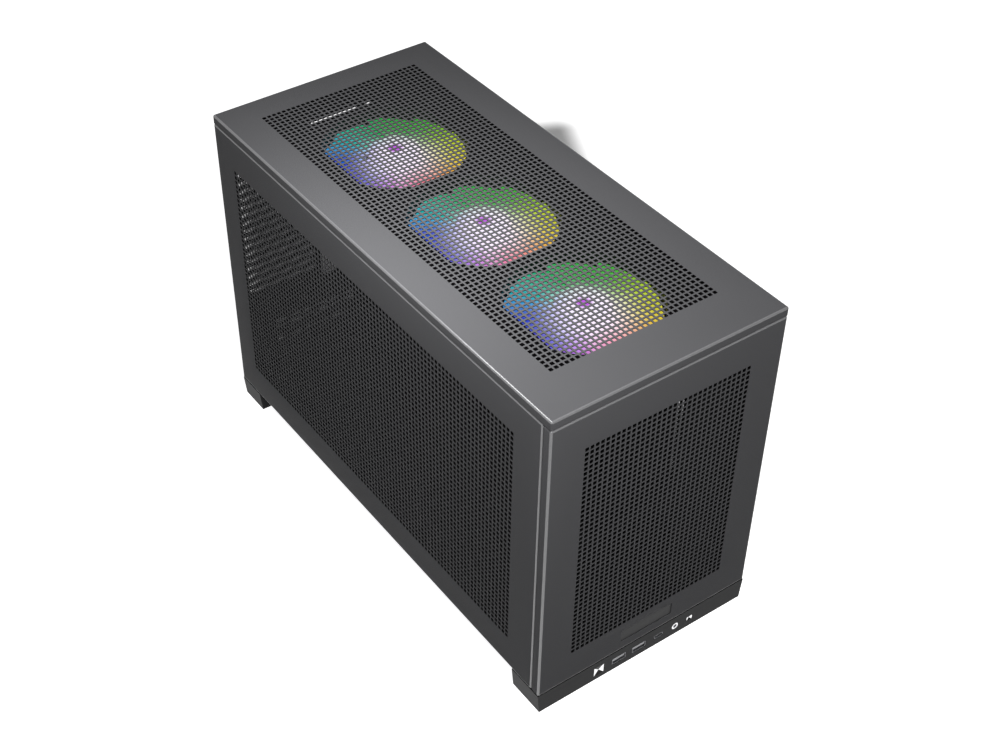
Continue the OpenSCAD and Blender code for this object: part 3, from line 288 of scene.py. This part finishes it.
def lit_blades(name, strength):
    """Frosted clear plastic, lit from the hub: white near the lamps and coloured towards the tips."""
    material, tree = start_material(name)
    place = add_node(tree, "ShaderNodeTexCoord")
    flat = add_node(tree, "ShaderNodeVectorMath", {0: place.outputs["Object"], 1: (1, 1, 0)}, operation="MULTIPLY")
    wheel = add_node(tree, "ShaderNodeTexGradient", {"Vector": flat.outputs["Vector"]}, gradient_type="RADIAL")
    hues = add_node(tree, "ShaderNodeValToRGB", {"Fac": wheel.outputs["Fac"]})
    fill_ramp(hues.color_ramp, HUE_STOPS)
    beside = add_node(tree, "ShaderNodeVectorMath", {0: flat.outputs["Vector"], 1: WHITE_MIDDLE}, operation="SUBTRACT")
    whiteness = distance_ramp(tree, beside.outputs["Vector"], *WHITE_RAMP)
    glow = blend(tree, whiteness, linear("#f2e8fc"), hues.outputs["Color"])
    heart = distance_ramp(tree, flat.outputs["Vector"], *HEART_RAMP)
    plastic = add_node(
        tree,
        "ShaderNodeBsdfPrincipled",
        {
            "Base Color": linear("#3c3e44"),
            "Roughness": 0.5,
            "IOR": 1.5,
            "Emission Color": blend(tree, heart, linear("#b046d0"), glow),
            "Emission Strength": distance_ramp(
                tree, beside.outputs["Vector"], *DIM_RAMP, strength, strength * TIP_SHARE
            ),
        },
    )
    end_material(tree, plastic.outputs["BSDF"])
    return material


# Places round the hub, counter-clockwise from the left, and the hue there
HUE_STOPS = [
    (0.0, "#1a1cb8"),
    (0.07, "#4038d0"),
    (0.13, "#c070ec"),
    (0.22, "#f04a78"),
    (0.29, "#f07828"),
    (0.37, "#ecd020"),
    (0.48, "#b8d81c"),
    (0.57, "#38b41c"),
    (0.7, "#14a83c"),
    (0.8, "#18b898"),
    (0.87, "#1c98d8"),
    (0.93, "#1430c0"),
]


def fill_ramp(ramp, stops):
    """Gives a colour ramp the stops, each a place and a hex value."""
    for element, (position, colour) in zip(list(ramp.elements), stops[:2]):
        element.position, element.color = position, linear(colour)
    for position, colour in stops[2:]:
        ramp.elements.new(position).color = linear(colour)


def finish_nodes(material, *names):
    """Gives the material to CAD nodes."""
    for name in names:
        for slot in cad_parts[name].material_slots:
            slot.material = material


# Punched and folded sheets


def corner_loop(w, l, inset, fold, steps):
    """Points round a rectangle whose corners are rounded down to the inset, counter-clockwise."""
    radius = max(fold - inset, 0.0)
    reach_x, reach_y = w / 2 - inset - radius, l / 2 - inset - radius
    points = []
    for quarter, (sx, sy) in enumerate([(1, -1), (1, 1), (-1, 1), (-1, -1)]):
        for k in range(steps + 1):
            angle = math.radians(-90 + 90 * quarter + 90 * k / steps)
            points.append((sx * reach_x + radius * math.cos(angle), sy * reach_y + radius * math.sin(angle)))
    return points


# How far a sheet's cut edge is eased
EASE = 0.2 * MM


def fold_profile(depth, sheet, fold, steps):
    """Inset and height of each line round a folded edge, from the outer face to the inner one."""
    quarter = [math.pi / 2 * k / steps for k in range(steps + 1)]
    outer = [(fold - fold * math.sin(a), -fold + fold * math.cos(a)) for a in quarter]
    inner_r = fold - sheet
    inner = [(fold - inner_r * math.sin(a), -fold + inner_r * math.cos(a)) for a in reversed(quarter)]
    hem = [(0.0, -depth + EASE), (EASE, -depth), (sheet - EASE, -depth), (sheet, -depth + EASE)]
    return outer + hem + inner


def add_ring(points, loop, z):
    """Adds a closed line of points at one height and returns its first index."""
    first = len(points)
    points.extend((x, y, z) for x, y in loop)
    return first


def stitch(faces, first, second, count):
    """Joins two closed lines of points with quads."""
    for i in range(count):
        j = (i + 1) % count
        faces.append((first + i, second + i, second + j, first + j))


def punched_field(cols, rows, sizes, centre):
    """Corner points of the grid, and the faces of every cell round its square hole, on both faces of the sheet."""
    pitch, half, cut = sizes.hole_pitch, sizes.hole_width / 2, sizes.hole_corner
    x0, y0 = centre[0] - cols * pitch / 2, centre[1] - rows * pitch / 2
    near = half - cut
    lower = [(-near, -half), (near, -half), (half, -near), (half, near)]
    hole = np.array(lower + [(-x, -y) for x, y in lower])
    grid = np.array([(x0 + i * pitch, y0 + j * pitch) for j in range(rows + 1) for i in range(cols + 1)])
    cells = [(i + 0.5, j + 0.5) for j in range(rows) for i in range(cols)]
    middles = np.array([(x0 + i * pitch, y0 + j * pitch) for i, j in cells])
    holes = (middles[:, None, :] + hole[None, :, :]).reshape(-1, 2)
    flat = np.vstack([grid, holes])
    total, first_hole = len(flat), len(grid)
    points = [(x, y, 0.0) for x, y in flat] + [(x, y, -sizes.sheet) for x, y in flat]
    faces, slots = [], []
    for j in range(rows):
        for i in range(cols):
            a = j * (cols + 1) + i
            corners = (a, a + 1, a + cols + 2, a + cols + 1)
            h = first_hole + 8 * (j * cols + i)
            for side in range(4):
                here, after = corners[side], corners[(side + 1) % 4]
                p, q, r = h + 2 * side, h + 2 * side + 1, h + (2 * side + 2) % 8
                faces.append((here, after, q, p))
                faces.append((after, r, q))
                faces.append((total + here, total + p, total + q, total + after))
                faces.append((total + after, total + q, total + r))
                faces.append((p, q, total + q, total + p))
                faces.append((q, r, total + r, total + q))
                slots.extend([FACE_SLOT] * 4 + [EDGE_SLOT] * 2)
    return points, faces, slots


# A triangle under this area, in square metres, is left out
NO_AREA = 1e-12


def fill_between(points, faces, loops, z, facing_up):
    """Fills the flat region between an outer line and the lines inside it."""
    flat = [Vector((x, y, 0)) for loop in loops for x, y in loop]
    first = len(points)
    points.extend((p.x, p.y, z) for p in flat)
    for triangle in tessellate_polygon([[Vector((x, y, 0)) for x, y in loop] for loop in loops]):
        a, b, c = (flat[i] for i in triangle)
        area = (b - a).cross(c - a).z
        if abs(area) < NO_AREA:
            continue
        order = triangle if (area > 0) == facing_up else tuple(reversed(triangle))
        faces.append(tuple(first + i for i in order))


def field_loop(cols, rows, pitch, centre):
    """The outline of the punched field, with a point at every cell."""
    x0, y0 = centre[0] - cols * pitch / 2, centre[1] - rows * pitch / 2
    x1, y1 = x0 + cols * pitch, y0 + rows * pitch
    bottom = [(x0 + i * pitch, y0) for i in range(cols)]
    right = [(x1, y0 + j * pitch) for j in range(rows)]
    top = [(x1 - i * pitch, y1) for i in range(cols)]
    left = [(x0, y1 - j * pitch) for j in range(rows)]
    return bottom + right + top + left


def rounded_window(w, h, radius, centre, steps=4):
    """Outline of a small rounded window in the sheet."""
    return [(centre[0] + x, centre[1] + y) for x, y in corner_loop(w, h, 0.0, radius, steps)]


# Material slots of a cover: its face, its punched edges and its folds, which carry a painted highlight
FACE_SLOT, EDGE_SLOT, FOLD_HIGHLIGHT_SLOT = 0, 1, 2


def folded_cover(name, w, l, depth, cols, rows, vent_centre, place, windows=()):
    """A punched sheet with its four edges folded back, built flat at z = 0 and then put in place."""
    sizes = bpy.context.scene.case_sizes
    points, faces, slots = punched_field(cols, rows, sizes, vent_centre)
    field = field_loop(cols, rows, sizes.hole_pitch, vent_centre)
    rim = corner_loop(w, l, sizes.fold, sizes.fold, sizes.fold_steps)
    corners = [rim[k * (sizes.fold_steps + 1)] for k in range(4)]
    for z, facing_up in ((0.0, True), (-sizes.sheet, False)):
        fill_between(points, faces, [corners, field, *windows], z, facing_up)
    for window in windows:
        upper = add_ring(points, window, 0.0)
        lower = add_ring(points, window, -sizes.sheet)
        stitch(faces, lower, upper, len(window))
    slots.extend([FACE_SLOT] * (len(faces) - len(slots)))
    before = None
    for line, (inset, z) in enumerate(fold_profile(depth, sizes.sheet, sizes.fold, sizes.fold_steps)):
        loop = corner_loop(w, l, inset, sizes.fold, sizes.fold_steps)
        ring = add_ring(points, loop, z)
        if before is not None:
            stitch(faces, before, ring, len(loop))
            slots.extend([FOLD_HIGHLIGHT_SLOT if line <= sizes.fold_steps else FACE_SLOT] * len(loop))
        before = ring
    piece = mesh_piece(name, points, faces, place, smooth_angle=40, slots=slots)
    for coat in (cover_coat(), cut_edge(), painted_highlight_fold_coat()):
        piece.data.materials.append(coat)
    return piece


def mesh_piece(name, points, faces, place=None, smooth_angle=30, slots=()):
    """Makes an object of the points and faces, with doubles merged and only blunt edges smooth."""
    mesh = bpy.data.meshes.new(name)
    mesh.from_pydata([tuple(p) for p in points], [], faces)
    mesh.polygons.foreach_set("material_index", [*slots, *[0] * (len(faces) - len(slots))])
    work = bmesh.new()
    work.from_mesh(mesh)
    bmesh.ops.remove_doubles(work, verts=work.verts, dist=2e-6)
    bmesh.ops.dissolve_degenerate(work, edges=work.edges, dist=1e-7)
    if place is not None:
        bmesh.ops.transform(work, matrix=place, verts=work.verts)
    work.to_mesh(mesh)
    work.free()
    mesh.shade_smooth()
    mesh.set_sharp_from_angle(angle=math.radians(smooth_angle))
    piece = bpy.data.objects.new(name, mesh)
    bpy.context.scene.collection.objects.link(piece)
    return piece


def dress(piece, body, node):
    """Gives a new piece its body and hides the CAD node that it stands for."""
    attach(piece, body)
    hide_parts(node)


def facing(node, direction):
    """Matrix that lays a cover's flat plan on the outer face of a CAD node."""
    low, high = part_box(node)
    middle = (low + high) / 2
    if direction == "up":
        return Matrix.Translation((middle.x, middle.y, high.z)), high.x - low.x, high.y - low.y
    if direction == "front":
        turn = Matrix.Rotation(math.radians(90), 4, "X")
        return Matrix.Translation((middle.x, low.y, middle.z)) @ turn, high.x - low.x, high.z - low.z
    side = -1 if direction == "left" else 1
    turn = Matrix.Rotation(math.radians(90 * side), 4, "Z") @ Matrix.Rotation(math.radians(90), 4, "X")
    outer = low.x if direction == "left" else high.x
    return Matrix.Translation((outer, middle.y, middle.z)) @ turn, high.y - low.y, high.z - low.z


def cover_coat():
    """The covers' shared powder coat."""
    found = bpy.data.materials.get("powder_coat_cover")
    return found or powder_coated_steel("powder_coat_cover", bpy.context.scene.case_colours.cover_coat, 0.42)


def cut_edge():
    """The punched edges, coloured far darker than the cover's faces."""
    found = bpy.data.materials.get("punched_edge")
    return found or powder_coated_steel("punched_edge", "#1c1c1d", 0.6)


def painted_highlight_fold_coat():
    """The coat along the folds, a lighter and glossier copy of the cover coat: a painted highlight, so that the folds'
    thin highlight lines show.
    """
    found = bpy.data.materials.get("powder_coat_fold_painted_highlight")
    # Painted highlight: the folds carry the faces' coat, here made lighter and glossier
    return found or powder_coated_steel("powder_coat_fold_painted_highlight", "#656567", 0.32, 0.9)


# Holes across and along each vent, as measured on the photograph, and how deep each cover's folded edge is
TOP_HOLES = (33, 85)
FRONT_HOLES = (33, 47)
SIDE_HOLES = (85, 47)
TOP_DEPTH, FRONT_DEPTH, SIDE_DEPTH = 7.5 * MM, 7.8 * MM, 6 * MM
# How far the top vent and the side vents lie off the middle of their sheets
TOP_SHIFT, SIDE_SHIFT = 6.4 * MM, 1 * MM
# How far the badge plate reaches past its window on each side
BADGE_FLANGE = 2 * MM


class CASE_OT_top_cover(bpy.types.Operator):
    """Builds the punched top cover"""

    bl_idname = "case.top_cover"
    bl_label = "Top cover"

    def execute(self, context):
        place, w, l = facing("top_cover", "up")
        piece = folded_cover("top_cover_punched", w, l, TOP_DEPTH, *TOP_HOLES, (0, TOP_SHIFT), place)
        dress(piece, "top_cover", "top_cover")
        return {"FINISHED"}


class CASE_OT_front_cover(bpy.types.Operator):
    """Builds the punched front cover with the window for its bare badge plate"""

    bl_idname = "case.front_cover"
    bl_label = "Front cover"

    def execute(self, context):
        place, w, l = facing("front_cover", "front")
        low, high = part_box("badge_plate")
        centre = ((low.x + high.x) / 2, (low.z + high.z) / 2 - place.translation.z)
        window = rounded_window(high.x - low.x - 2 * BADGE_FLANGE, high.z - low.z - 2 * BADGE_FLANGE, 1 * MM, centre)
        piece = folded_cover("front_cover_punched", w, l, FRONT_DEPTH, *FRONT_HOLES, (0, 0), place, [window])
        dress(piece, "front_cover", "front_cover")
        return {"FINISHED"}


class CASE_OT_side_panels(bpy.types.Operator):
    """Builds the two punched side panels"""

    bl_idname = "case.side_panels"
    bl_label = "Side panels"

    def execute(self, context):
        for side, shift in (("left", -SIDE_SHIFT), ("right", SIDE_SHIFT)):
            node = side + "_side_panel"
            place, w, l = facing(node, side)
            piece = folded_cover(node + "_punched", w, l, SIDE_DEPTH, *SIDE_HOLES, (shift, 0), place)
            dress(piece, node, node)
        return {"FINISHED"}


# Fans


def turned(profile, steps):
    """Points and faces of a profile of radius and height, turned about Z."""
    points, faces = [], []
    for k in range(steps):
        angle = 2 * math.pi * k / steps
        points.extend((r * math.cos(angle), r * math.sin(angle), z) for r, z in profile)
    n = len(profile)
    for k in range(steps):
        here, after = k * n, ((k + 1) % steps) * n
        for i in range(n - 1):
            faces.append((here + i, after + i, after + i + 1, here + i + 1))
    return points, faces


# A blade: how far its tip leads, how wide its root is and how much narrower its tip, in degrees
TIP_LEAD, ROOT_CHORD, CHORD_LOSS = 14, 68, 14
# Its other sizes, in millimetres
ROOT_RADIUS, BLADE_SPAN = 20.0, 36.4
MIDDLE_HEIGHT, ROOT_RISE, CAMBER = 13.4, 8.5, 1.6
BLADE_THICKNESS = 1.5 * MM
# Shares of the thickness left at the tip and along the edges
TIP_THINNING, EDGE_THINNING = 0.4, 0.15
SPAN_STEPS, CHORD_STEPS = 10, 12
# Radius and height round the hub's cap, in millimetres
HUB_OUTER = [(0, 23.5), (13, 23.5), (19.2, 23.1), (20.5, 22.2), (21, 20.6), (21, 4.2)]
HUB_INNER = [(19.2, 4.2), (19.2, 21.3), (0, 21.3)]
HUB_STEPS = 48


def blade_point(u, v, side):
    """A point of a blade, from root to tip and from front edge to back edge, on its lower or upper skin."""
    angle = math.radians(TIP_LEAD * u + (v - 0.5) * (ROOT_CHORD - CHORD_LOSS * u))
    radius = (ROOT_RADIUS + u * BLADE_SPAN) * MM
    edge = math.sqrt(max(0.0, 1 - (2 * v - 1) ** 4)) * (1 if u < 1 else TIP_THINNING)
    rise = (MIDDLE_HEIGHT + (v - 0.5) * (ROOT_RISE - u) + CAMBER * math.sin(math.pi * v)) * MM
    lift = (side - 0.5) * BLADE_THICKNESS * max(edge, EDGE_THINNING)
    return (radius * math.cos(angle), radius * math.sin(angle), rise + lift)


def blade_shell(turn):
    """Points and faces of one closed blade, turned about the hub."""
    points, faces = [], []
    spans, chords = SPAN_STEPS, CHORD_STEPS
    place = Matrix.Rotation(turn, 3, "Z")
    for side in (0, 1):
        for i in range(spans + 1):
            for j in range(chords + 1):
                points.append(place @ Vector(blade_point(i / spans, j / chords, side)))
    row = chords + 1
    sheet = (spans + 1) * row
    for i in range(spans):
        for j in range(chords):
            a = i * row + j
            faces.append((a, a + row, a + row + 1, a + 1)[::-1])
            faces.append((sheet + a, sheet + a + row, sheet + a + row + 1, sheet + a + 1))
    edge = (
        [j for j in range(chords)]
        + [i * row + chords for i in range(spans)]
        + [spans * row + j for j in range(chords, 0, -1)]
        + [i * row for i in range(spans, 0, -1)]
    )
    for k, a in enumerate(edge):
        b = edge[(k + 1) % len(edge)]
        faces.append((a, b, sheet + b, sheet + a))
    return points, faces


class CASE_OT_fans(bpy.types.Operator):
    """Builds the frosted, lit rotors and finishes the fans' frames and motors"""

    bl_idname = "case.fans"
    bl_label = "Fans"

    def execute(self, context):
        sizes = context.scene.case_sizes
        blades = lit_blades("frosted_blades_lit", context.scene.case_light.fan_glow)
        for number in (1, 2, 3):
            low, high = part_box("fan_frame_%d" % number)
            points, faces = turned([(r * MM, z * MM) for r, z in HUB_OUTER + HUB_INNER], HUB_STEPS)
            for k in range(sizes.blade_count):
                more, more_faces = blade_shell(2 * math.pi * k / sizes.blade_count)
                start = len(points)
                points.extend(more)
                faces.extend(tuple(start + i for i in face) for face in more_faces)
            piece = mesh_piece("fan_blades_%d" % number, points, faces, smooth_angle=50)
            piece.location = ((low.x + high.x) / 2, (low.y + high.y) / 2, low.z)
            piece.data.materials.append(blades)
            dress(piece, "fan_rotor_%d" % number, "fan_rotor_%d" % number)
        nylon = moulded_plastic("glass_filled_nylon_frame", "#121213", 0.45, 0.4 * MM)
        finish_nodes(nylon, "fan_frame_1", "fan_frame_2", "fan_frame_3")
        laminations = worked_metal("motor_laminations", "#3a3a3c", 0.5, 0.5 * MM)
        finish_nodes(laminations, "fan_stator_1", "fan_stator_2", "fan_stator_3")
        return {"FINISHED"}


# Chassis, feet and fittings


class CASE_OT_chassis(bpy.types.Operator):
    """Finishes the riveted sheets inside the case"""

    bl_idname = "case.chassis"
    bl_label = "Chassis"

    def execute(self, context):
        coat = powder_coated_steel("black_coat_chassis", context.scene.case_colours.chassis_coat, 0.5)
        finish_nodes(
            coat,
            "base_tray",
            "rear_panel",
            "front_bulkhead",
            "fan_tray",
            "motherboard_tray",
            "psu_bracket",
            "drive_bracket",
            "chassis_rivets",
            "slot_carrier",
            "slot_cover_1",
            "slot_cover_2",
            "fan_screws",
        )
        finish_nodes(worked_metal("turned_brass", "#b8975a", 0.3, 0.3 * MM), "motherboard_standoffs")
        return {"FINISHED"}


class CASE_OT_feet(bpy.types.Operator):
    """Finishes the moulded feet and their rubber pads"""

    bl_idname = "case.feet"
    bl_label = "Feet"

    def execute(self, context):
        shell = moulded_plastic("moulded_abs_foot", context.scene.case_colours.foot_plastic, 0.55, 0.35 * MM)
        finish_nodes(shell, "front_base", "rear_base", "panel_clips", "inlet_housing")
        finish_nodes(moulded_plastic("moulded_abs_badge", "#1a1a1b", 0.4, 0.3 * MM), "badge_plate")
        finish_nodes(moulded_plastic("black_rubber", "#161616", 0.8, 0.6 * MM), "foot_pads")
        return {"FINISHED"}


class CASE_OT_fasteners(bpy.types.Operator):
    """Finishes the screws, cover pins and contact pins"""

    bl_idname = "case.fasteners"
    bl_label = "Fasteners"

    def execute(self, context):
        zinc = worked_metal("zinc_plated_steel", "#b4b5b8", 0.32, 0.3 * MM)
        finish_nodes(
            zinc,
            "top_cover_studs",
            "front_cover_studs",
            "left_panel_studs",
            "right_panel_studs",
            "base_screws",
            "slot_thumbscrews",
            "inlet_pins",
            "inlet_screws",
            "io_board_screws",
        )
        return {"FINISHED"}


class CASE_OT_port_strip(bpy.types.Operator):
    """Finishes the ports and buttons of the front strip"""

    bl_idname = "case.port_strip"
    bl_label = "Port strip"

    def execute(self, context):
        nickel = worked_metal("nickel_plated_shell", "#8c8c90", 0.35, 0.4 * MM)
        finish_nodes(nickel, "usb_a_shell_1", "usb_a_shell_2", "usb_c_shell")
        finish_nodes(worked_metal("turned_nickel_ring", "#e2e2e4", 0.35, 0.3 * MM), "audio_jack_ring")
        white = moulded_plastic("moulded_white_tongue", "#d8d9dc", 0.5, 0.3 * MM)
        finish_nodes(white, "usb_a_tongue_1", "usb_a_tongue_2")
        black = moulded_plastic("moulded_black_insert", "#151516", 0.5, 0.3 * MM)
        finish_nodes(black, "usb_c_tongue", "audio_jack_body", "power_switch", "reset_switch")
        finish_nodes(moulded_plastic("solder_mask_board", "#10201a", 0.35, 0.5 * MM), "io_board")
        # The buttons' bow-tie reflection is painted into their colour
        for node in ("power_button", "reset_button"):
            low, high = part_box(node)
            finish_nodes(painted_reflection_metal("painted_reflection_facets_" + node, tuple((low + high) / 2)), node)
        return {"FINISHED"}


# Stage

# The photograph's camera, solved from the case's corners, folds and hole rows
CAMERA_PLACE = (-0.57830, -0.80207, 0.98401)
CAMERA_RIGHT = (0.81921462, -0.57348611, -0.00104151)
CAMERA_DOWN = (-0.3825907, -0.54516927, -0.74593219)
CAMERA_AHEAD = (0.42721394, 0.61147703, -0.66602109)
CAMERA_LENS = 58.056
CAMERA_SHIFT = (0.04074, 0.02537)


def seen_ray(tree):
    """1 for rays that come from the camera, a mirror or glass, and 0 for the rest."""
    path = add_node(tree, "ShaderNodeLightPath")
    camera, glossy, through = (path.outputs["Is %s Ray" % kind] for kind in ("Camera", "Glossy", "Transmission"))
    either = add_node(tree, "ShaderNodeMath", {0: camera, 1: glossy}, operation="MAXIMUM")
    return add_node(tree, "ShaderNodeMath", {0: either.outputs["Value"], 1: through}, operation="MAXIMUM")


# The one area of floor with no light of its own, in metres: its middle, its turn, its reach each way, its left
# limit and its soft edge. It is fixed to the floor, and was worked out as the floor that the case hides from the
# photograph's camera, so that white doesn't shine through the vents there. The case's real shadow shows inside it,
# and is washed out beyond it, where the floor gives off its own white; the area stays darker than the floor around
# it even where lit, so its outline is a painted shadow.
SHADOW_PLACE = (0.123, 0.223, 0.0)
SHADOW_TURN = math.radians(64.5)
SHADOW_REACH = (0.29, 0.173, 0.0)
SHADOW_LEFT = -0.03
SHADOW_EDGE = 0.035


def studio_floor(colour):
    """Painted studio floor: unlit of itself in the shadow area, and beyond it white by its own emission."""
    material, tree = start_material("painted_floor")
    place = add_node(tree, "ShaderNodeTexCoord")
    seen = seen_ray(tree).outputs["Value"]
    laid = add_node(
        tree,
        "ShaderNodeMapping",
        {"Vector": place.outputs["Object"], "Location": SHADOW_PLACE, "Rotation": (0, 0, SHADOW_TURN)},
        vector_type="TEXTURE",
    )
    size = add_node(tree, "ShaderNodeVectorMath", {0: laid.outputs["Vector"]}, operation="ABSOLUTE")
    beyond = add_node(tree, "ShaderNodeVectorMath", {0: size.outputs["Vector"], 1: SHADOW_REACH}, operation="SUBTRACT")
    across = add_node(tree, "ShaderNodeSeparateXYZ", {"Vector": place.outputs["Object"]})
    left = add_node(tree, "ShaderNodeMath", {0: SHADOW_LEFT, 1: across.outputs["X"]}, operation="SUBTRACT")
    past_left = add_node(tree, "ShaderNodeCombineXYZ", {"Z": left.outputs["Value"]})
    both = add_node(tree, "ShaderNodeVectorMath", {0: beyond.outputs["Vector"], 1: past_left.outputs["Vector"]})
    outside = add_node(tree, "ShaderNodeVectorMath", {0: both.outputs["Vector"], 1: (0, 0, 0)}, operation="MAXIMUM")
    far = distance_ramp(tree, outside.outputs["Vector"], 0.0, SHADOW_EDGE)
    lift = add_node(tree, "ShaderNodeMath", {0: seen, 1: far}, operation="MULTIPLY")
    paint = add_node(
        tree,
        "ShaderNodeBsdfPrincipled",
        {
            "Base Color": blend(tree, seen, linear(colour), linear("#f4f4f4")),
            "Roughness": 0.9,
            "Specular IOR Level": 0.2,
            "Emission Color": linear("#ffffff"),
            "Emission Strength": lift.outputs["Value"],
        },
    )
    end_material(tree, paint.outputs["BSDF"])
    return material


def white_room(strength):
    """World light: white where it is seen, and softer where it lights the object."""
    world = bpy.data.worlds.new("white_room")
    world.use_nodes = True
    tree = world.node_tree
    tree.nodes.clear()
    seen = seen_ray(tree)
    level = add_node(tree, "ShaderNodeMapRange", {"Value": seen.outputs["Value"], "To Min": strength, "To Max": 1.0})
    sky = add_node(tree, "ShaderNodeBackground", {"Color": linear("#ffffff"), "Strength": level.outputs["Result"]})
    add_node(tree, "ShaderNodeOutputWorld", {"Surface": sky.outputs["Background"]})
    return world


# Each lamp's name, its place, the point that it faces and its side, in metres
LAMPS = (
    ("key_front_left", (-0.36, -0.72, 0.95), (0, -0.1, 0.2), 0.25),
    ("overhead_left", (-0.14, -0.03, 0.53), (-0.14, -0.03, 0), 0.16),
    ("softbox_rear", (0.9, 1.2, 1.5), (0, 0, 0.2), 1.0),
)
FLOOR_REACH = 6


def add_softbox(name, place, target, size, power):
    """A square lamp that points at the target."""
    lamp = bpy.data.lights.new(name, "AREA")
    lamp.shape, lamp.size, lamp.energy = "SQUARE", size, power
    holder = bpy.data.objects.new(name, lamp)
    holder.location = place
    holder.visible_camera = False
    holder.rotation_euler = (Vector(target) - Vector(place)).to_track_quat("-Z", "Y").to_euler()
    bpy.context.scene.collection.objects.link(holder)


class CASE_OT_stage(bpy.types.Operator):
    """Sets up the floor, the lamps, the white room and the camera"""

    bl_idname = "case.stage"
    bl_label = "Stage"

    def execute(self, context):
        scene = context.scene
        light = scene.case_light
        corners = [(x * FLOOR_REACH, y * FLOOR_REACH, 0) for x, y in ((-1, -1), (1, -1), (1, 1), (-1, 1))]
        floor = mesh_piece("studio_floor", corners, [(0, 1, 2, 3)])
        floor.data.materials.append(studio_floor(scene.case_colours.floor))
        scene.world = white_room(light.room)
        for (name, *lamp), power in zip(LAMPS, (light.key, light.overhead, light.softbox)):
            add_softbox(name, *lamp, power)
        lens = bpy.data.cameras.new("camera")
        lens.sensor_width = 36
        lens.lens = CAMERA_LENS
        lens.shift_x, lens.shift_y = CAMERA_SHIFT
        lens.clip_end = 50
        camera = bpy.data.objects.new("camera", lens)
        turn = Matrix((CAMERA_RIGHT, -Vector(CAMERA_DOWN), -Vector(CAMERA_AHEAD))).transposed()
        camera.matrix_world = Matrix.Translation(CAMERA_PLACE) @ turn.to_4x4()
        scene.collection.objects.link(camera)
        scene.camera = camera
        scene.view_settings.view_transform = "Standard"
        return {"FINISHED"}


class CASE_PT_panel(bpy.types.Panel):
    """Lists what builds each group of pieces"""

    bl_label = "Perforated Case"
    bl_idname = "CASE_PT_panel"
    bl_space_type = "VIEW_3D"
    bl_region_type = "UI"
    bl_category = "Case"

    def draw(self, context):
        for group in (context.scene.case_sizes, context.scene.case_colours, context.scene.case_light):
            box = self.layout.box()
            for name in group.bl_rna.properties.keys():
                if name not in ("rna_type", "name"):
                    box.prop(group, name)
        for operator in OPERATORS:
            self.layout.operator(operator.bl_idname)


OPERATORS = (
    CASE_OT_stage,
    CASE_OT_top_cover,
    CASE_OT_front_cover,
    CASE_OT_side_panels,
    CASE_OT_chassis,
    CASE_OT_feet,
    CASE_OT_fans,
    CASE_OT_fasteners,
    CASE_OT_port_strip,
)
CLASSES = (CaseSizes, CaseColours, CaseLight, *OPERATORS, CASE_PT_panel)


def register():
    """Registers the classes and hangs the settings on the scene."""
    for item in CLASSES:
        bpy.utils.register_class(item)
    bpy.types.Scene.case_sizes = PointerProperty(type=CaseSizes)
    bpy.types.Scene.case_colours = PointerProperty(type=CaseColours)
    bpy.types.Scene.case_light = PointerProperty(type=CaseLight)


def unregister():
    """Takes the settings and the classes away again."""
    del bpy.types.Scene.case_light
    del bpy.types.Scene.case_colours
    del bpy.types.Scene.case_sizes
    for item in reversed(CLASSES):
        bpy.utils.unregister_class(item)


def main():
    """Builds every piece in order."""
    register()
    bpy.ops.case.stage()
    bpy.ops.case.top_cover()
    bpy.ops.case.front_cover()
    bpy.ops.case.side_panels()
    bpy.ops.case.chassis()
    bpy.ops.case.feet()
    bpy.ops.case.fans()
    bpy.ops.case.fasteners()
    bpy.ops.case.port_strip()


if __name__ == "__main__":
    main()
